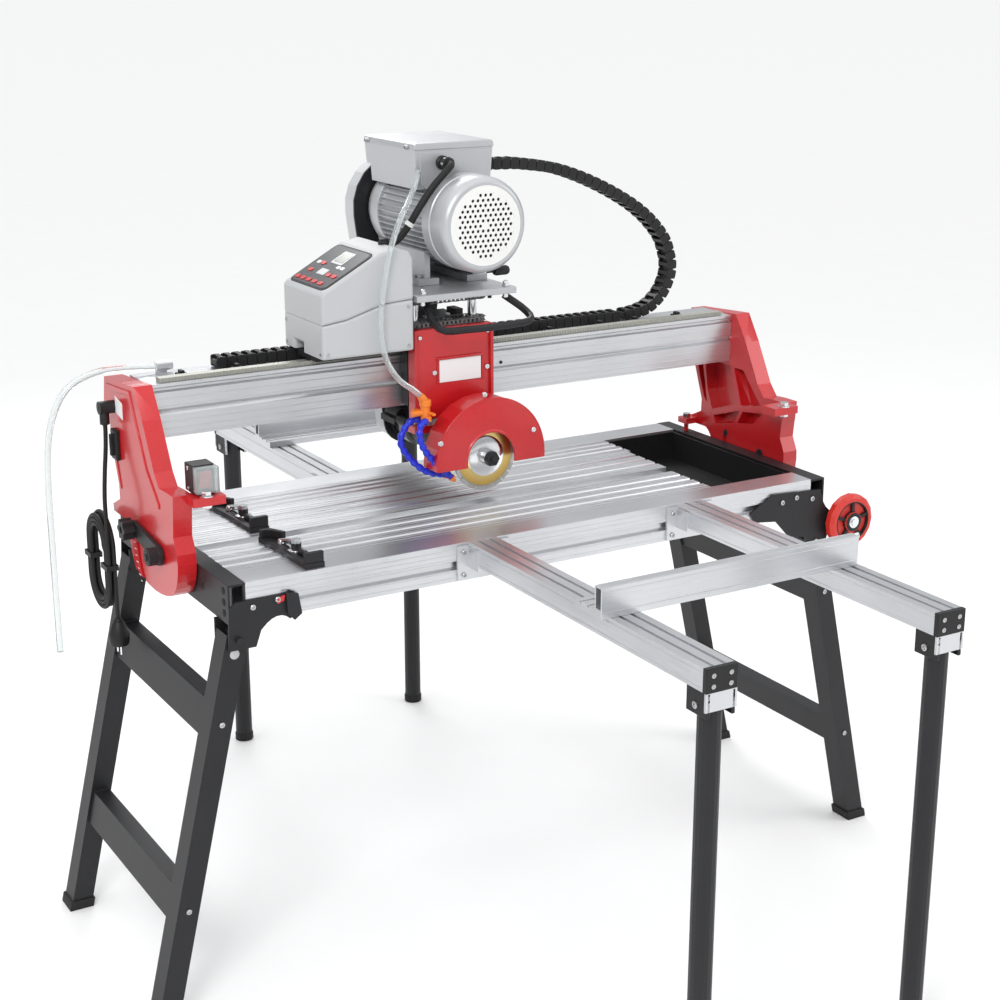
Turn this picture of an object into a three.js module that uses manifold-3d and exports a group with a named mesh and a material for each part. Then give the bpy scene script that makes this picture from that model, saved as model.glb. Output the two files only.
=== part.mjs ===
// Bridge-type wet tile saw on folding legs.
// The saw head hangs from a carriage that runs along a beam above the table, and the whole
// bridge tilts about the blade's line for mitre cuts. Millimetres, +Z up, +X along the beam,
// +Y to the back. The origin is on the floor, under the middle of the saw's outer box.
import * as THREE from 'three';
import { mergeVertices } from 'three/addons/utils/BufferGeometryUtils.js';
import Module from 'manifold-3d';

const wasm = await Module();
wasm.setup();

// ---------- driving dimensions ----------
const GAP = 0.3;                 // air between pieces that touch

const TABLE_TOP = 780;           // height of the table surface
const TABLE_HALF_X = 600;        // half length of the side beams
const TABLE_HALF_Y = 260;        // half depth of the table
const BEAM_H = 70;               // side beam height
const BEAM_W = 60;               // side beam width
const END_PLATE = 32;            // thickness of the end plates
const BEAM_LOW = TABLE_TOP - BEAM_H;

const BLADE_X = -25;             // head centre line along the beam
const BLADE_Y = -55;             // plane of the blade, and of the tilt axis
const BLADE_Z = 868;             // spindle height
const BLADE_R = 66;
const SLOT_HALF = 15;            // half width of the cutting slot
const PLANK_T = 20;              // plank thickness
const TRAY_LEFT = 417;           // left wall of the water tray

const BRACKET_X = 634;           // inner face of the gantry brackets
const BRACKET_T = 34;            // bracket thickness
const BRIDGE_Y0 = 55;            // bridge beam, front face
const BRIDGE_Y1 = 155;           // bridge beam, rear face
const BRIDGE_Z0 = 956;
const BRIDGE_Z1 = 1053;
const LOCK_R = 118;              // radius of the tilt lock slot
const LOCK_ANGLE = 9;            // degrees above level, where the lock bolt stands
const TILT_RANGE = 45;

const LEG_Y = 235;               // leg centre lines, front and rear
const LEG_W = 46;                // leg width along Y
const LEG_T = 40;                // leg thickness along X
const LEG_TOP_X = 611;           // leg centre at the underside of the beam
const LEG_FOOT_X = 775;          // leg centre at the floor
const LEFT_HINGE_Z = 683;
const RIGHT_HINGE_Z = 641;
const WALL = 2.5;                // wall of the leg tubes
const CAP_H = 16;                // foot cap height

const ARM_W = 57;
const ARM_H = 38;
const FRONT_REACH = 689;         // front arms, out from the table
const REAR_REACH = 552;          // rear arms
const FRONT_ARM_X = [-148.5, 302.5];
const REAR_ARM_X = [-191, 259];
const ARM_LEG_R = 19;
const ARM_LEG_INSET = 21;
const ARM_PIVOT_Z = 716;
const FRONT_FENCE_Y = -707;      // outer faces of the fences
const REAR_FENCE_Y = 580;
const FENCE_LEN = 520;

const WHEEL_X = 685;
const WHEEL_Z = 688;

const MOTOR_Z = 1300;            // motor shaft height
const MOTOR_R = 84;
const FAN_FRONT = -63;           // front face of the fan cover
const MOTOR_BACK = 262;          // back of the motor and of its mounting plate
const PLATE_Z = 1165;            // underside of the motor's mounting plate

// ---------- materials ----------
const paint = (color, roughness, metalness) =>
  new THREE.MeshStandardMaterial({ color, roughness, metalness });
const ALUMINIUM = paint(0xc9ccd0, 0.35, 0.9);
const BLACK_STEEL = paint(0x1b1b1d, 0.5, 0.3);
const BLACK_PLASTIC = paint(0x151516, 0.6, 0.0);
const RED_PAINT = paint(0xc4141c, 0.4, 0.1);
const RED_WHEEL = paint(0xd03028, 0.5, 0.0);
const GREY_PLASTIC = paint(0xa9aaab, 0.5, 0.0);
const GREY_PAINT = paint(0x9a9c9e, 0.45, 0.3);
const STEEL = paint(0xb8bcc0, 0.25, 1.0);
const BLUE_PLASTIC = paint(0x1c3fc4, 0.4, 0.0);
const RUBBER = paint(0x101011, 0.8, 0.0);
const CLEAR = paint(0xdfe6e8, 0.1, 0.0);

// ---------- geometry helpers ----------
const saw = new THREE.Group();

function add(name, geometry, material) {
  const mesh = new THREE.Mesh(geometry, material);
  mesh.name = name;
  saw.add(mesh);
  return mesh;
}

function bare(geometry) {
  const g = geometry.index ? geometry.toNonIndexed() : geometry.clone();
  g.deleteAttribute('normal');
  g.deleteAttribute('uv');
  return g;
}

function toSolid(geometry) {
  const g = mergeVertices(bare(geometry), 1e-4);
  const vertProperties = new Float32Array(g.attributes.position.array);
  const triVerts = new Uint32Array(g.index.array);
  return new wasm.Manifold(new wasm.Mesh({ numProp: 3, vertProperties, triVerts }));
}

function fromSolid(solid) {
  const m = solid.getMesh();
  const g = new THREE.BufferGeometry();
  g.setAttribute('position', new THREE.BufferAttribute(new Float32Array(m.vertProperties), 3));
  g.setIndex(new THREE.BufferAttribute(new Uint32Array(m.triVerts), 1));
  return g;
}

function join(...list) {
  return fromSolid(list.map(toSolid).reduce((a, b) => a.add(b)));
}

function cut(body, ...tools) {
  return fromSolid(tools.map(toSolid).reduce((a, b) => a.subtract(b), toSolid(body)));
}

function box(x0, x1, y0, y1, z0, z1) {
  const g = new THREE.BoxGeometry(x1 - x0, y1 - y0, z1 - z0);
  return g.translate((x0 + x1) / 2, (y0 + y1) / 2, (z0 + z1) / 2);
}

function shapeOf(outline) {
  if (outline instanceof THREE.Shape) return outline;
  return new THREE.Shape(outline.map(([u, v]) => new THREE.Vector2(u, v)));
}

function extrude(outline, depth) {
  return new THREE.ExtrudeGeometry(shapeOf(outline), { depth, bevelEnabled: false, curveSegments: 6 });
}

// outline in (y, z), extruded from x0 to x1
function prismX(outline, x0, x1) {
  const m = new THREE.Matrix4().set(0, 0, 1, x0, 1, 0, 0, 0, 0, 1, 0, 0, 0, 0, 0, 1);
  return extrude(outline, x1 - x0).applyMatrix4(m);
}

// outline in (x, z), extruded from y0 to y1
function prismY(outline, y0, y1) {
  const m = new THREE.Matrix4().set(1, 0, 0, 0, 0, 0, -1, y1, 0, 1, 0, 0, 0, 0, 0, 1);
  return extrude(outline, y1 - y0).applyMatrix4(m);
}

// outline in (x, y), extruded from z0 to z1
function prismZ(outline, z0, z1) {
  return extrude(outline, z1 - z0).translate(0, 0, z0);
}

const rodX = (r, x0, x1, y, z, n = 12) =>
  new THREE.CylinderGeometry(r, r, x1 - x0, n).rotateZ(-Math.PI / 2).translate((x0 + x1) / 2, y, z);
const rodY = (r, y0, y1, x, z, n = 12) =>
  new THREE.CylinderGeometry(r, r, y1 - y0, n).translate(x, (y0 + y1) / 2, z);
const rodZ = (r, z0, z1, x, y, n = 12) =>
  new THREE.CylinderGeometry(r, r, z1 - z0, n).rotateX(Math.PI / 2).translate(x, y, (z0 + z1) / 2);

// closed profile of (radius, y) points turned about an axis along Y
function turned(profile, x, z, n = 20) {
  const pts = [...profile, profile[0]].map(([r, y]) => new THREE.Vector2(r, y));
  return new THREE.LatheGeometry(pts, n).translate(x, 0, z);
}

function tube(points, r, steps, sides = 8) {
  const curve = new THREE.CatmullRomCurve3(points.map((p) => new THREE.Vector3(...p)));
  const ring = new THREE.Shape();
  for (let i = 0; i < sides; i += 1) {
    const a = (i / sides) * Math.PI * 2;
    const move = i === 0 ? 'moveTo' : 'lineTo';
    ring[move](r * Math.cos(a), r * Math.sin(a));
  }
  return new THREE.ExtrudeGeometry(ring, { steps, extrudePath: curve, bevelEnabled: false });
}

// plate outline round two circles (u, v, r), joined by their outer tangents
function linkOutline(a, b, n = 8) {
  const along = Math.atan2(b[1] - a[1], b[0] - a[0]);
  const span = Math.hypot(b[0] - a[0], b[1] - a[1]);
  const lean = Math.acos((a[2] - b[2]) / span);
  const points = [];
  for (const [c, from, to] of [[a, lean, 2 * Math.PI - lean], [b, -lean, lean]]) {
    for (let i = 0; i <= n; i += 1) {
      const t = along + from + ((to - from) * i) / n;
      points.push([c[0] + c[2] * Math.cos(t), c[1] + c[2] * Math.sin(t)]);
    }
  }
  return points;
}

const mirrorX = (g) => flip(g, -1, 1);
const mirrorY = (g) => flip(g, 1, -1);

function flip(geometry, sx, sy) {
  const g = bare(geometry).scale(sx, sy, 1);
  const p = g.attributes.position;
  for (let i = 0; i < p.count; i += 3) {
    const keepX = p.getX(i);
    const keepY = p.getY(i);
    const keepZ = p.getZ(i);
    p.setXYZ(i, p.getX(i + 2), p.getY(i + 2), p.getZ(i + 2));
    p.setXYZ(i + 2, keepX, keepY, keepZ);
  }
  return g;
}

// ---------- table ----------
function sideBeam() {
  const outer = -TABLE_HALF_Y;
  const inner = outer + BEAM_W;
  const profile = [
    [inner, BEAM_LOW], [outer, BEAM_LOW], [outer, BEAM_LOW + 22], [outer + 8, BEAM_LOW + 25],
    [outer + 8, BEAM_LOW + 35], [outer, BEAM_LOW + 38], [outer, TABLE_TOP], [inner, TABLE_TOP],
  ];
  const bore = box(-TABLE_HALF_X - 1, TABLE_HALF_X + 1, outer + 14, inner - 6, BEAM_LOW + 6, TABLE_TOP - 6);
  return cut(prismX(profile, -TABLE_HALF_X, TABLE_HALF_X), bore);
}

function endPlate() {
  const x0 = -TABLE_HALF_X - END_PLATE;
  const x1 = -TABLE_HALF_X - GAP;
  const profile = [
    [x0, BEAM_LOW], [x1, BEAM_LOW], [x1, BEAM_LOW + 4], [x0 + 4, BEAM_LOW + 4],
    [x0 + 4, TABLE_TOP - 4], [x1, TABLE_TOP - 4], [x1, TABLE_TOP], [x0, TABLE_TOP],
  ];
  return prismY(profile, -TABLE_HALF_Y - 2, TABLE_HALF_Y + 2);
}

function plank(y0, y1, x1) {
  const top = TABLE_TOP;
  const points = [[y0, top - PLANK_T], [y0, top]];
  const ribs = 3;
  const pitch = (y1 - y0) / (ribs + 1);
  for (let i = 1; i <= ribs; i += 1) {
    const y = y0 + pitch * i;
    points.push([y - 5, top], [y - 3, top - 3], [y + 3, top - 3], [y + 5, top]);
  }
  points.push([y1, top], [y1, top - PLANK_T]);
  return prismX(points, -TABLE_HALF_X, x1);
}

function waterTray() {
  const half = TABLE_HALF_Y - BEAM_W - 1;
  const right = TABLE_HALF_X - 3;
  const rim = TABLE_TOP - 4;
  const shell = box(TRAY_LEFT, right, -half, half, BEAM_LOW + 2, rim);
  const inside = box(TRAY_LEFT + 4, right - 4, -half + 4, half - 4, BEAM_LOW + 6, rim + 5);
  const lowWall = box(TRAY_LEFT - 5, TRAY_LEFT + 6, -half + 4, half - 4, TABLE_TOP - PLANK_T - 2, rim + 5);
  return cut(shell, inside, lowWall);
}

function crossRails() {
  const half = TABLE_HALF_Y - BEAM_W - GAP;
  const bar = (x) => box(x - 20, x + 20, -half, half, BEAM_LOW + 10, TABLE_TOP - PLANK_T + 1);
  return join(bar(-400), bar(0), bar(TRAY_LEFT - 22));
}

function buildTable() {
  add('front_beam', sideBeam(), ALUMINIUM);
  add('rear_beam', mirrorY(sideBeam()), ALUMINIUM);
  add('left_end_plate', join(endPlate(), leftHinges()), BLACK_STEEL);
  add('right_end_plate', join(mirrorX(endPlate()), wheelPlate(), mirrorY(wheelPlate())), BLACK_STEEL);
  const inner = TABLE_HALF_Y - BEAM_W - GAP;
  const planks = [
    plank(-inner, BLADE_Y - SLOT_HALF, 400),
    plank(BLADE_Y + SLOT_HALF, 98, 408),
    plank(98 + 1, inner, 416),
  ];
  add('table_planks', join(...planks, crossRails()), ALUMINIUM);
  add('water_tray', waterTray(), BLACK_PLASTIC);
}

// ---------- tilting brackets ----------
const LOCK_RAD = (LOCK_ANGLE * Math.PI) / 180;
const LOCK_Y = BLADE_Y + LOCK_R * Math.cos(LOCK_RAD);
const LOCK_Z = TABLE_TOP + LOCK_R * Math.sin(LOCK_RAD);

// side view of the bracket, (y, z)
function bracketOutline() {
  const s = new THREE.Shape();
  s.moveTo(195, 1046);
  s.lineTo(40, 1057);
  s.lineTo(5, 1004);
  s.lineTo(-40, 923);
  s.lineTo(-86, 872);
  s.lineTo(-122, 866);
  s.lineTo(-118, 828);
  s.lineTo(-132, 800);
  s.quadraticCurveTo(-138, 740, -94, 717);
  s.quadraticCurveTo(-20, 690, 82, 716);
  s.quadraticCurveTo(98, 735, 104, 758);
  s.quadraticCurveTo(112, 790, 132, 797);
  s.lineTo(186, 797);
  s.lineTo(188, 810);
  s.lineTo(149, 828);
  s.lineTo(148, 855);
  s.lineTo(177, 930);
  s.lineTo(177, 982);
  s.lineTo(204, 1001);
  return s;
}

function lockSlot(x0, x1) {
  const points = [];
  const half = 6.6;
  const top = LOCK_RAD + 0.012;
  const low = LOCK_RAD - (TILT_RANGE * Math.PI) / 180 - 0.012;
  const n = 8;
  for (const [r, from, to] of [[LOCK_R + half, low, top], [LOCK_R - half, top, low]]) {
    for (let i = 0; i <= n; i += 1) {
      const t = from + ((to - from) * i) / n;
      points.push([BLADE_Y + r * Math.cos(t), TABLE_TOP + r * Math.sin(t)]);
    }
  }
  const ends = [low, top].map((t) =>
    rodX(half, x0, x1, BLADE_Y + LOCK_R * Math.cos(t), TABLE_TOP + LOCK_R * Math.sin(t), 12));
  return join(prismX(points, x0, x1), ...ends);
}

// the right-hand bracket: a casting, open and ribbed on its inner side
function gantryBracket() {
  const x0 = BRACKET_X;
  const x1 = BRACKET_X + BRACKET_T;
  const pocket = (outline) => prismX(outline, x0 - 1, x1 - 8);
  const body = prismX(bracketOutline(), x0, x1);
  const pockets = [
    [[52, 946], [140, 946], [128, 880], [110, 840], [28, 868]],
    [[10, 944], [40, 944], [12, 868], [-52, 880]],
    [[18, 856], [104, 828], [96, 812], [34, 826]],
    [[6, 856], [22, 828], [-30, 838], [-62, 866]],
    [[150, 946], [166, 930], [140, 862], [128, 850]],
  ].map(pocket);
  const ear = box(x0 - 48, x0 + 10, -158, -116, 887, 902);
  const earWeb = prismX([[-122, 860], [-90, 868], [-60, 900], [-90, 902], [-126, 902]], x0, x1);
  const rearEar = box(x0 - 30, x0 + 10, 160, 190, 799, 811);
  const axleHole = rodX(10.6, x0 - 2, x1 + 2, BLADE_Y, TABLE_TOP);
  const frontBolt = rodZ(5, 880, 905, x0 - 18, -148);
  const rearBolt = rodZ(5, TABLE_TOP + 0.6, 818, x0 - 18, 176);
  const solid = join(body, ear, earWeb, rearEar, frontBolt, rearBolt);
  return cut(solid, ...pockets, axleHole, lockSlot(x0 - 2, x1 + 2));
}

// pivot pin, lock bolt and the black link that joins them, all fixed to the table end
function tiltLink() {
  const inner = TABLE_HALF_X + END_PLATE + GAP;
  const face = BRACKET_X + BRACKET_T + 1;
  const link = prismX(linkOutline([BLADE_Y, TABLE_TOP, 18], [LOCK_Y, LOCK_Z, 13]), face, face + 8);
  const pivot = rodX(10, inner, face + 10, BLADE_Y, TABLE_TOP);
  const bolt = rodX(6, inner, face + 26, LOCK_Y, LOCK_Z);
  const knob = rodX(16, face + 7, face + 26, BLADE_Y, TABLE_TOP);
  return join(link, pivot, bolt, knob);
}

function starKnob() {
  const x0 = BRACKET_X + BRACKET_T + 9 + GAP;
  const s = new THREE.Shape();
  const lobes = 6;
  const steps = 36;
  for (let i = 0; i < steps; i += 1) {
    const a = (i / steps) * 2 * Math.PI;
    const r = 17 + 3 * Math.cos(lobes * a);
    const move = i === 0 ? 'moveTo' : 'lineTo';
    s[move](LOCK_Y + r * Math.cos(a), LOCK_Z + r * Math.sin(a));
  }
  return cut(prismX(s, x0, x0 + 22), rodX(6 + GAP, x0 - 1, x0 + 23, LOCK_Y, LOCK_Z));
}

// ---------- bridge beam ----------
function bridgeBeam() {
  const f = BRIDGE_Y0;
  const b = BRIDGE_Y1;
  const lo = BRIDGE_Z0;
  const hi = BRIDGE_Z1;
  const profile = [
    [f, lo], [f, lo + 40], [f + 7, lo + 46], [f, lo + 52], [f, hi - 16], [f + 5, hi - 13], [f + 5, hi - 9],
    [f, hi - 6], [f, hi], [b, hi], [b, lo + 52], [b - 7, lo + 46], [b, lo + 40], [b, lo],
  ];
  const half = BRACKET_X - GAP;
  return cut(prismX(profile, -half, half), box(-half - 1, half + 1, f + 12, b - 12, lo + 6, hi - 18));
}

function buildGantry() {
  add('gantry_bracket_left', mirrorX(gantryBracket()), RED_PAINT);
  add('gantry_bracket_right', gantryBracket(), RED_PAINT);
  const rack = box(-612, 612, 62, 80, BRIDGE_Z1 - 1, BRIDGE_Z1 + 8);
  add('bridge_beam', join(bridgeBeam(), rack, hoseCoupling()), ALUMINIUM);
  add('chain_run', box(-485, 396, 110, 144, BRIDGE_Z1 + GAP, BRIDGE_Z1 + 23), BLACK_PLASTIC);
  add('tilt_link_left', mirrorX(tiltLink()), BLACK_STEEL);
  add('tilt_link_right', tiltLink(), BLACK_STEEL);
  add('tilt_knob_left', mirrorX(starKnob()), BLACK_PLASTIC);
  add('tilt_knob_right', starKnob(), BLACK_PLASTIC);
}

// ---------- folding leg frames ----------
const LEG_SLOPE = (LEG_FOOT_X - LEG_TOP_X) / BEAM_LOW;
const legX = (z) => LEG_FOOT_X - LEG_SLOPE * z;

// band along the leg's line, in (x, z), between two heights
const legBand = (half, z0, z1) => [
  [legX(z0) - half, z0], [legX(z0) + half, z0], [legX(z1) + half, z1], [legX(z1) - half, z1],
];

// two slanting tubes with foot caps and two welded cross bars, all open inside
function legFrame(hingeZ) {
  const top = hingeZ + 9;
  const t = LEG_T / 2;
  const w = LEG_W / 2;
  const inner = LEG_Y - w;
  const bars = [[178, 238], [505, 568]];
  const solids = bars.map(([z0, z1]) => prismY(legBand(15, z0, z1), -inner - 1, inner + 1));
  const hollows = bars.map(([z0, z1]) =>
    prismY(legBand(15 - WALL, z0 + WALL, z1 - WALL), -inner - WALL - 1, inner + WALL + 1));
  for (const y of [-LEG_Y, LEG_Y]) {
    solids.push(prismY(legBand(t, CAP_H, top), y - w, y + w));
    solids.push(prismY(legBand(t + 3, 0, CAP_H + 1), y - w - 3, y + w + 3));
    hollows.push(prismY(legBand(t - WALL, CAP_H + 1, top + 1), y - w + WALL, y + w - WALL));
    hollows.push(rodY(6 + GAP, y - w - 1, y + w + 1, legX(hingeZ), hingeZ));
  }
  return cut(join(...solids), ...hollows);
}

function hingePin(hingeZ, y0, y1) {
  return rodY(6, y0, y1, legX(hingeZ), hingeZ, 16);
}

function innerHingePlate(hingeZ) {
  const y1 = LEG_Y - LEG_W / 2 - 0.8;
  const x = legX(hingeZ);
  return box(x - 20, x + 20, y1 - 4, y1, hingeZ - 15, BEAM_LOW - GAP);
}

// curved corner plate over the beam's lower lip, with its latch hook
function cornerPlate() {
  const s = new THREE.Shape();
  const x = -TABLE_HALF_X;
  s.moveTo(x - 32, BEAM_LOW + 30);
  s.lineTo(x - 20, 749);
  s.lineTo(x + 59, 749);
  s.lineTo(x + 78, 754);
  s.lineTo(x + 94, 744);
  s.lineTo(x + 90, 711);
  s.lineTo(x + 77, 703);
  s.quadraticCurveTo(x + 55, 726, x + 24, 693);
  s.lineTo(x + 14, 665);
  s.lineTo(x - 36, 665);
  return prismY(s, -TABLE_HALF_Y - GAP - 4, -TABLE_HALF_Y - GAP);
}

function leftHinges() {
  const out = TABLE_HALF_Y + GAP;
  const inn = LEG_Y - LEG_W / 2 - 0.8;
  const side = join(
    mirrorY(cornerPlate()),
    mirrorX(hingePin(LEFT_HINGE_Z, inn - 6, out + 6)),
    mirrorX(innerHingePlate(LEFT_HINGE_Z)),
  );
  return join(side, mirrorY(side));
}

// flat plate that carries the right leg hinge and the transport wheel
function wheelPlateOutline() {
  const s = new THREE.Shape();
  s.moveTo(447, 734);
  s.lineTo(502, 764);
  s.lineTo(622, 758);
  s.quadraticCurveTo(630, 708, 668, 704);
  s.lineTo(701, 700);
  s.absarc(WHEEL_X, WHEEL_Z, 16, 0.7, -1.4, true);
  s.lineTo(648, 668);
  s.lineTo(632, 628);
  s.lineTo(600, 628);
  s.lineTo(588, 664);
  s.lineTo(547, 671);
  s.lineTo(512, 708);
  s.lineTo(460, 714);
  return s;
}

function wheelPlate() {
  const inner = TABLE_HALF_Y + GAP;
  const inn = LEG_Y - LEG_W / 2 - 0.8;
  const plate = prismY(wheelPlateOutline(), inner, inner + 5);
  const axle = rodY(7, inner + 1, inner + 41, WHEEL_X, WHEEL_Z, 16);
  const pin = hingePin(RIGHT_HINGE_Z, inn - 6, inner + 8);
  return join(plate, axle, pin, innerHingePlate(RIGHT_HINGE_Z));
}

function wheel() {
  const y0 = TABLE_HALF_Y + 9;
  const y1 = y0 + 24;
  const hub = [[7.4, y0], [20, y0], [20, y0 + 6], [40, y0 + 6], [40, y0], [48, y0], [55, y0 + 6]];
  const back = [[55, y1 - 6], [48, y1], [40, y1], [40, y1 - 6], [20, y1 - 6], [20, y1 + 3], [7.4, y1 + 3]];
  return turned([...hub, ...back], WHEEL_X, WHEEL_Z, 16);
}

function buildLegs() {
  const sides = [['left', LEFT_HINGE_Z, mirrorX], ['right', RIGHT_HINGE_Z, (g) => g]];
  for (const [side, hingeZ, place] of sides) {
    add(`${side}_leg_frame`, place(legFrame(hingeZ)), BLACK_STEEL);
  }
  add('wheel_front', mirrorY(wheel()), RED_WHEEL);
  add('wheel_rear', wheel(), RED_WHEEL);
}

// ---------- extension arms ----------
// arm that slides along the beam's groove, drawn for the front and mirrored for the rear
function extensionArm(x, reach) {
  const y1 = -TABLE_HALF_Y - GAP;
  const y0 = -TABLE_HALF_Y - reach;
  const z1 = TABLE_TOP;
  const z0 = z1 - ARM_H;
  const w = ARM_W / 2;
  const groove = (u) => [[u - 3, z1], [u - 3, z1 - 5], [u + 3, z1 - 5], [u + 3, z1]];
  const section = [
    [x - w, z0], [x - w, z1], ...groove(x - 11), ...groove(x + 11), [x + w, z1], [x + w, z0],
  ];
  const bore = box(x - w + 4, x + w - 4, y0 + 10, y1 + 1, z0 + 4, z1 - 9);
  const body = prismY(section, y0, y1);
  const tab = box(x - w - 24, x + w + 24, y1 - 5, y1, z0 - 30, z1 - 4);
  const gusset = (s) => box(x + s * (w + 1.5) - 2.5, x + s * (w + 1.5) + 2.5, y1 - 40, y1, z0 - 6, z1 - 6);
  return cut(join(body, tab, gusset(-1), gusset(1)), bore);
}

// round tube leg, closed at the foot
function armLeg(x, reach) {
  const y = -TABLE_HALF_Y - reach + ARM_LEG_INSET;
  const top = ARM_PIVOT_Z + 10;
  const pinHole = rodX(4 + GAP, x - 30, x + 30, y, ARM_PIVOT_Z);
  return cut(rodZ(ARM_LEG_R, 0, top, x, y, 16), rodZ(ARM_LEG_R - WALL, 4, top + 1, x, y, 16), pinHole);
}

// black block that closes the arm's end and carries the leg's pin
function armEndBlock(x, reach) {
  const end = -TABLE_HALF_Y - reach + 1;
  const w = ARM_W / 2;
  const block = box(x - w, x + w, end - 7, end, TABLE_TOP - ARM_H, TABLE_TOP);
  const lug = (s) => box(x + s * 23 - 2.5, x + s * 23 + 2.5, end - 5, end + 44, ARM_PIVOT_Z - 14, TABLE_TOP - ARM_H + 1);
  const link = box(x - w, x + w, end - 7, end - 3, ARM_PIVOT_Z - 4, TABLE_TOP - ARM_H + 1);
  const pin = rodX(4, x - 26, x + 26, -TABLE_HALF_Y - reach + ARM_LEG_INSET, ARM_PIVOT_Z, 12);
  return join(block, link, lug(-1), lug(1), pin);
}

function buildArm(name, x, reach, place) {
  add(`${name}_arm`, place(join(extensionArm(x, reach), armEndBlock(x, reach))), ALUMINIUM);
  add(`${name}_arm_leg`, place(armLeg(x, reach)), BLACK_STEEL);
}

// fence: flat two-slot base with a tall box lip on its outer side
function fence(x0, outerY) {
  const y = outerY;
  const z = TABLE_TOP + GAP;
  const section = [
    [y, z], [y, z + 52], [y + 20, z + 52], [y + 20, z + 12], [y + 36, z + 12], [y + 36, z + 8], [y + 42, z + 8],
    [y + 42, z + 12], [y + 58, z + 12], [y + 58, z + 8], [y + 64, z + 8], [y + 64, z + 12], [y + 76, z + 12],
    [y + 76, z],
  ];
  const bore = box(x0 - 1, x0 + FENCE_LEN + 1, y + 3, y + 17, z + 15, z + 49);
  return cut(prismX(section, x0, x0 + FENCE_LEN), bore);
}

// cam lever that locks a fence to the arm under it
function clamp(x, outerY) {
  const z = TABLE_TOP + 12 + 2 * GAP;
  const y = outerY + 50;
  const base = box(x - 15, x + 15, y - 14, y + 14, z - 2, z + 9);
  const post = rodZ(6, z + 8, z + 22, x, y, 12);
  return join(base, post);
}

function clampLever(x, outerY) {
  const z = TABLE_TOP + 12 + 2 * GAP + 9 + GAP;
  const y = outerY + 50;
  const hub = linkOutline([x, y, 11], [x + 46, y - 8, 5], 8);
  return cut(prismZ(hub, z, z + 8), rodZ(6 + GAP, z - 1, z + 9, x, y, 12));
}

function buildArms() {
  const same = (g) => g;
  buildArm('front_left', FRONT_ARM_X[0], FRONT_REACH, same);
  buildArm('front_right', FRONT_ARM_X[1], FRONT_REACH, same);
  buildArm('rear_left', REAR_ARM_X[0], REAR_REACH, mirrorY);
  buildArm('rear_right', REAR_ARM_X[1], REAR_REACH, mirrorY);
  const frontX = FRONT_ARM_X[0] - 46;
  const rearX = REAR_ARM_X[0] - 30;
  const [cl, cr] = FRONT_ARM_X;
  const rc = REAR_ARM_X[1];
  const clamps = join(clamp(cl, FRONT_FENCE_Y), clamp(cr, FRONT_FENCE_Y));
  add('front_fence', join(fence(frontX, FRONT_FENCE_Y), clamps), ALUMINIUM);
  add('rear_fence', mirrorY(join(fence(rearX, -REAR_FENCE_Y), clamp(rc, -REAR_FENCE_Y))), ALUMINIUM);
  add('front_lever_left', clampLever(cl, FRONT_FENCE_Y), STEEL);
  add('front_lever_right', clampLever(cr, FRONT_FENCE_Y), STEEL);
  add('rear_lever', mirrorY(clampLever(rc, -REAR_FENCE_Y)), STEEL);
}

// angle stop that lies on the planks
function angleStop(y) {
  const z = TABLE_TOP + GAP;
  const x = -470;
  const base = [[x - 18, y - 88], [x + 18, y - 88], [x + 14, y + 60], [x - 4, y + 92], [x - 26, y + 92], [x - 20, y + 20]];
  const body = prismZ(base, z, z + 9);
  const slot = box(x - 5, x + 5, y - 60, y + 30, z - 1, z + 10);
  const bolt = rodZ(9, z + 4, z + 24, x, y - 12);
  return join(cut(body, slot), bolt);
}

// ---------- carriage ----------
function carriageBody() {
  const x0 = BLADE_X - 120;
  const x1 = BLADE_X + 48;
  const top = box(x0, x1, 22, 188, BRIDGE_Z1 + 27, 1104);
  const front = box(x0, x1, 22, 49, 962, BRIDGE_Z1 + 28);
  const back = box(x0, x1, 161, 186, 962, BRIDGE_Z1 + 28);
  const shelf = box(-330, x0 + 1, 22, 104, BRIDGE_Z1 + 13, BRIDGE_Z1 + 24);
  const rodHole = (x) => rodZ(8.6, 950, 1120, x, 35.5);
  return cut(join(top, front, back, shelf), rodHole(x0 + 22), rodHole(x1 - 22));
}

const BOX_X = [-338, -155];
const BOX_Y = [-26, 140];

// lower half of the control box; the joint line rises to the right
function controlBase() {
  const [x0, x1] = BOX_X;
  const outline = [[x0, 1078], [x1, 1078], [x1, 1172], [-215, 1168], [-290, 1146], [x0, 1140]];
  return cut(prismY(outline, ...BOX_Y), box(x0 - 1, x0 + 60, 60, 100, 1077, 1096));
}

// upper half, with the sloping face that carries the keys
function controlTop() {
  const [x0, x1] = BOX_X;
  const outline = [
    [x0, 1140 + GAP], [-290, 1146 + GAP], [-215, 1168 + GAP], [x1, 1172 + GAP], [x1, 1246], [-163, 1260],
    [-185, 1267], [-220, 1261], [x0 + 6, 1200], [x0, 1193],
  ];
  return prismY(outline, ...BOX_Y);
}

function buildCarriage() {
  add('carriage_body', carriageBody(), BLACK_STEEL);
  add('control_box_base', controlBase(), GREY_PLASTIC);
  add('control_box_top', controlTop(), GREY_PLASTIC);
}

// ---------- head ----------
function motorPlate() {
  return box(BLADE_X - 125, BLADE_X + 85, -30, MOTOR_BACK, PLATE_Z, PLATE_Z + 12);
}

function liftRods() {
  const x0 = BLADE_X - 98;
  const x1 = BLADE_X + 26;
  const rod = (x) => rodZ(8, 922, PLATE_Z + 1, x, 35.5);
  return join(rod(x0), rod(x1));
}

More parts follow.
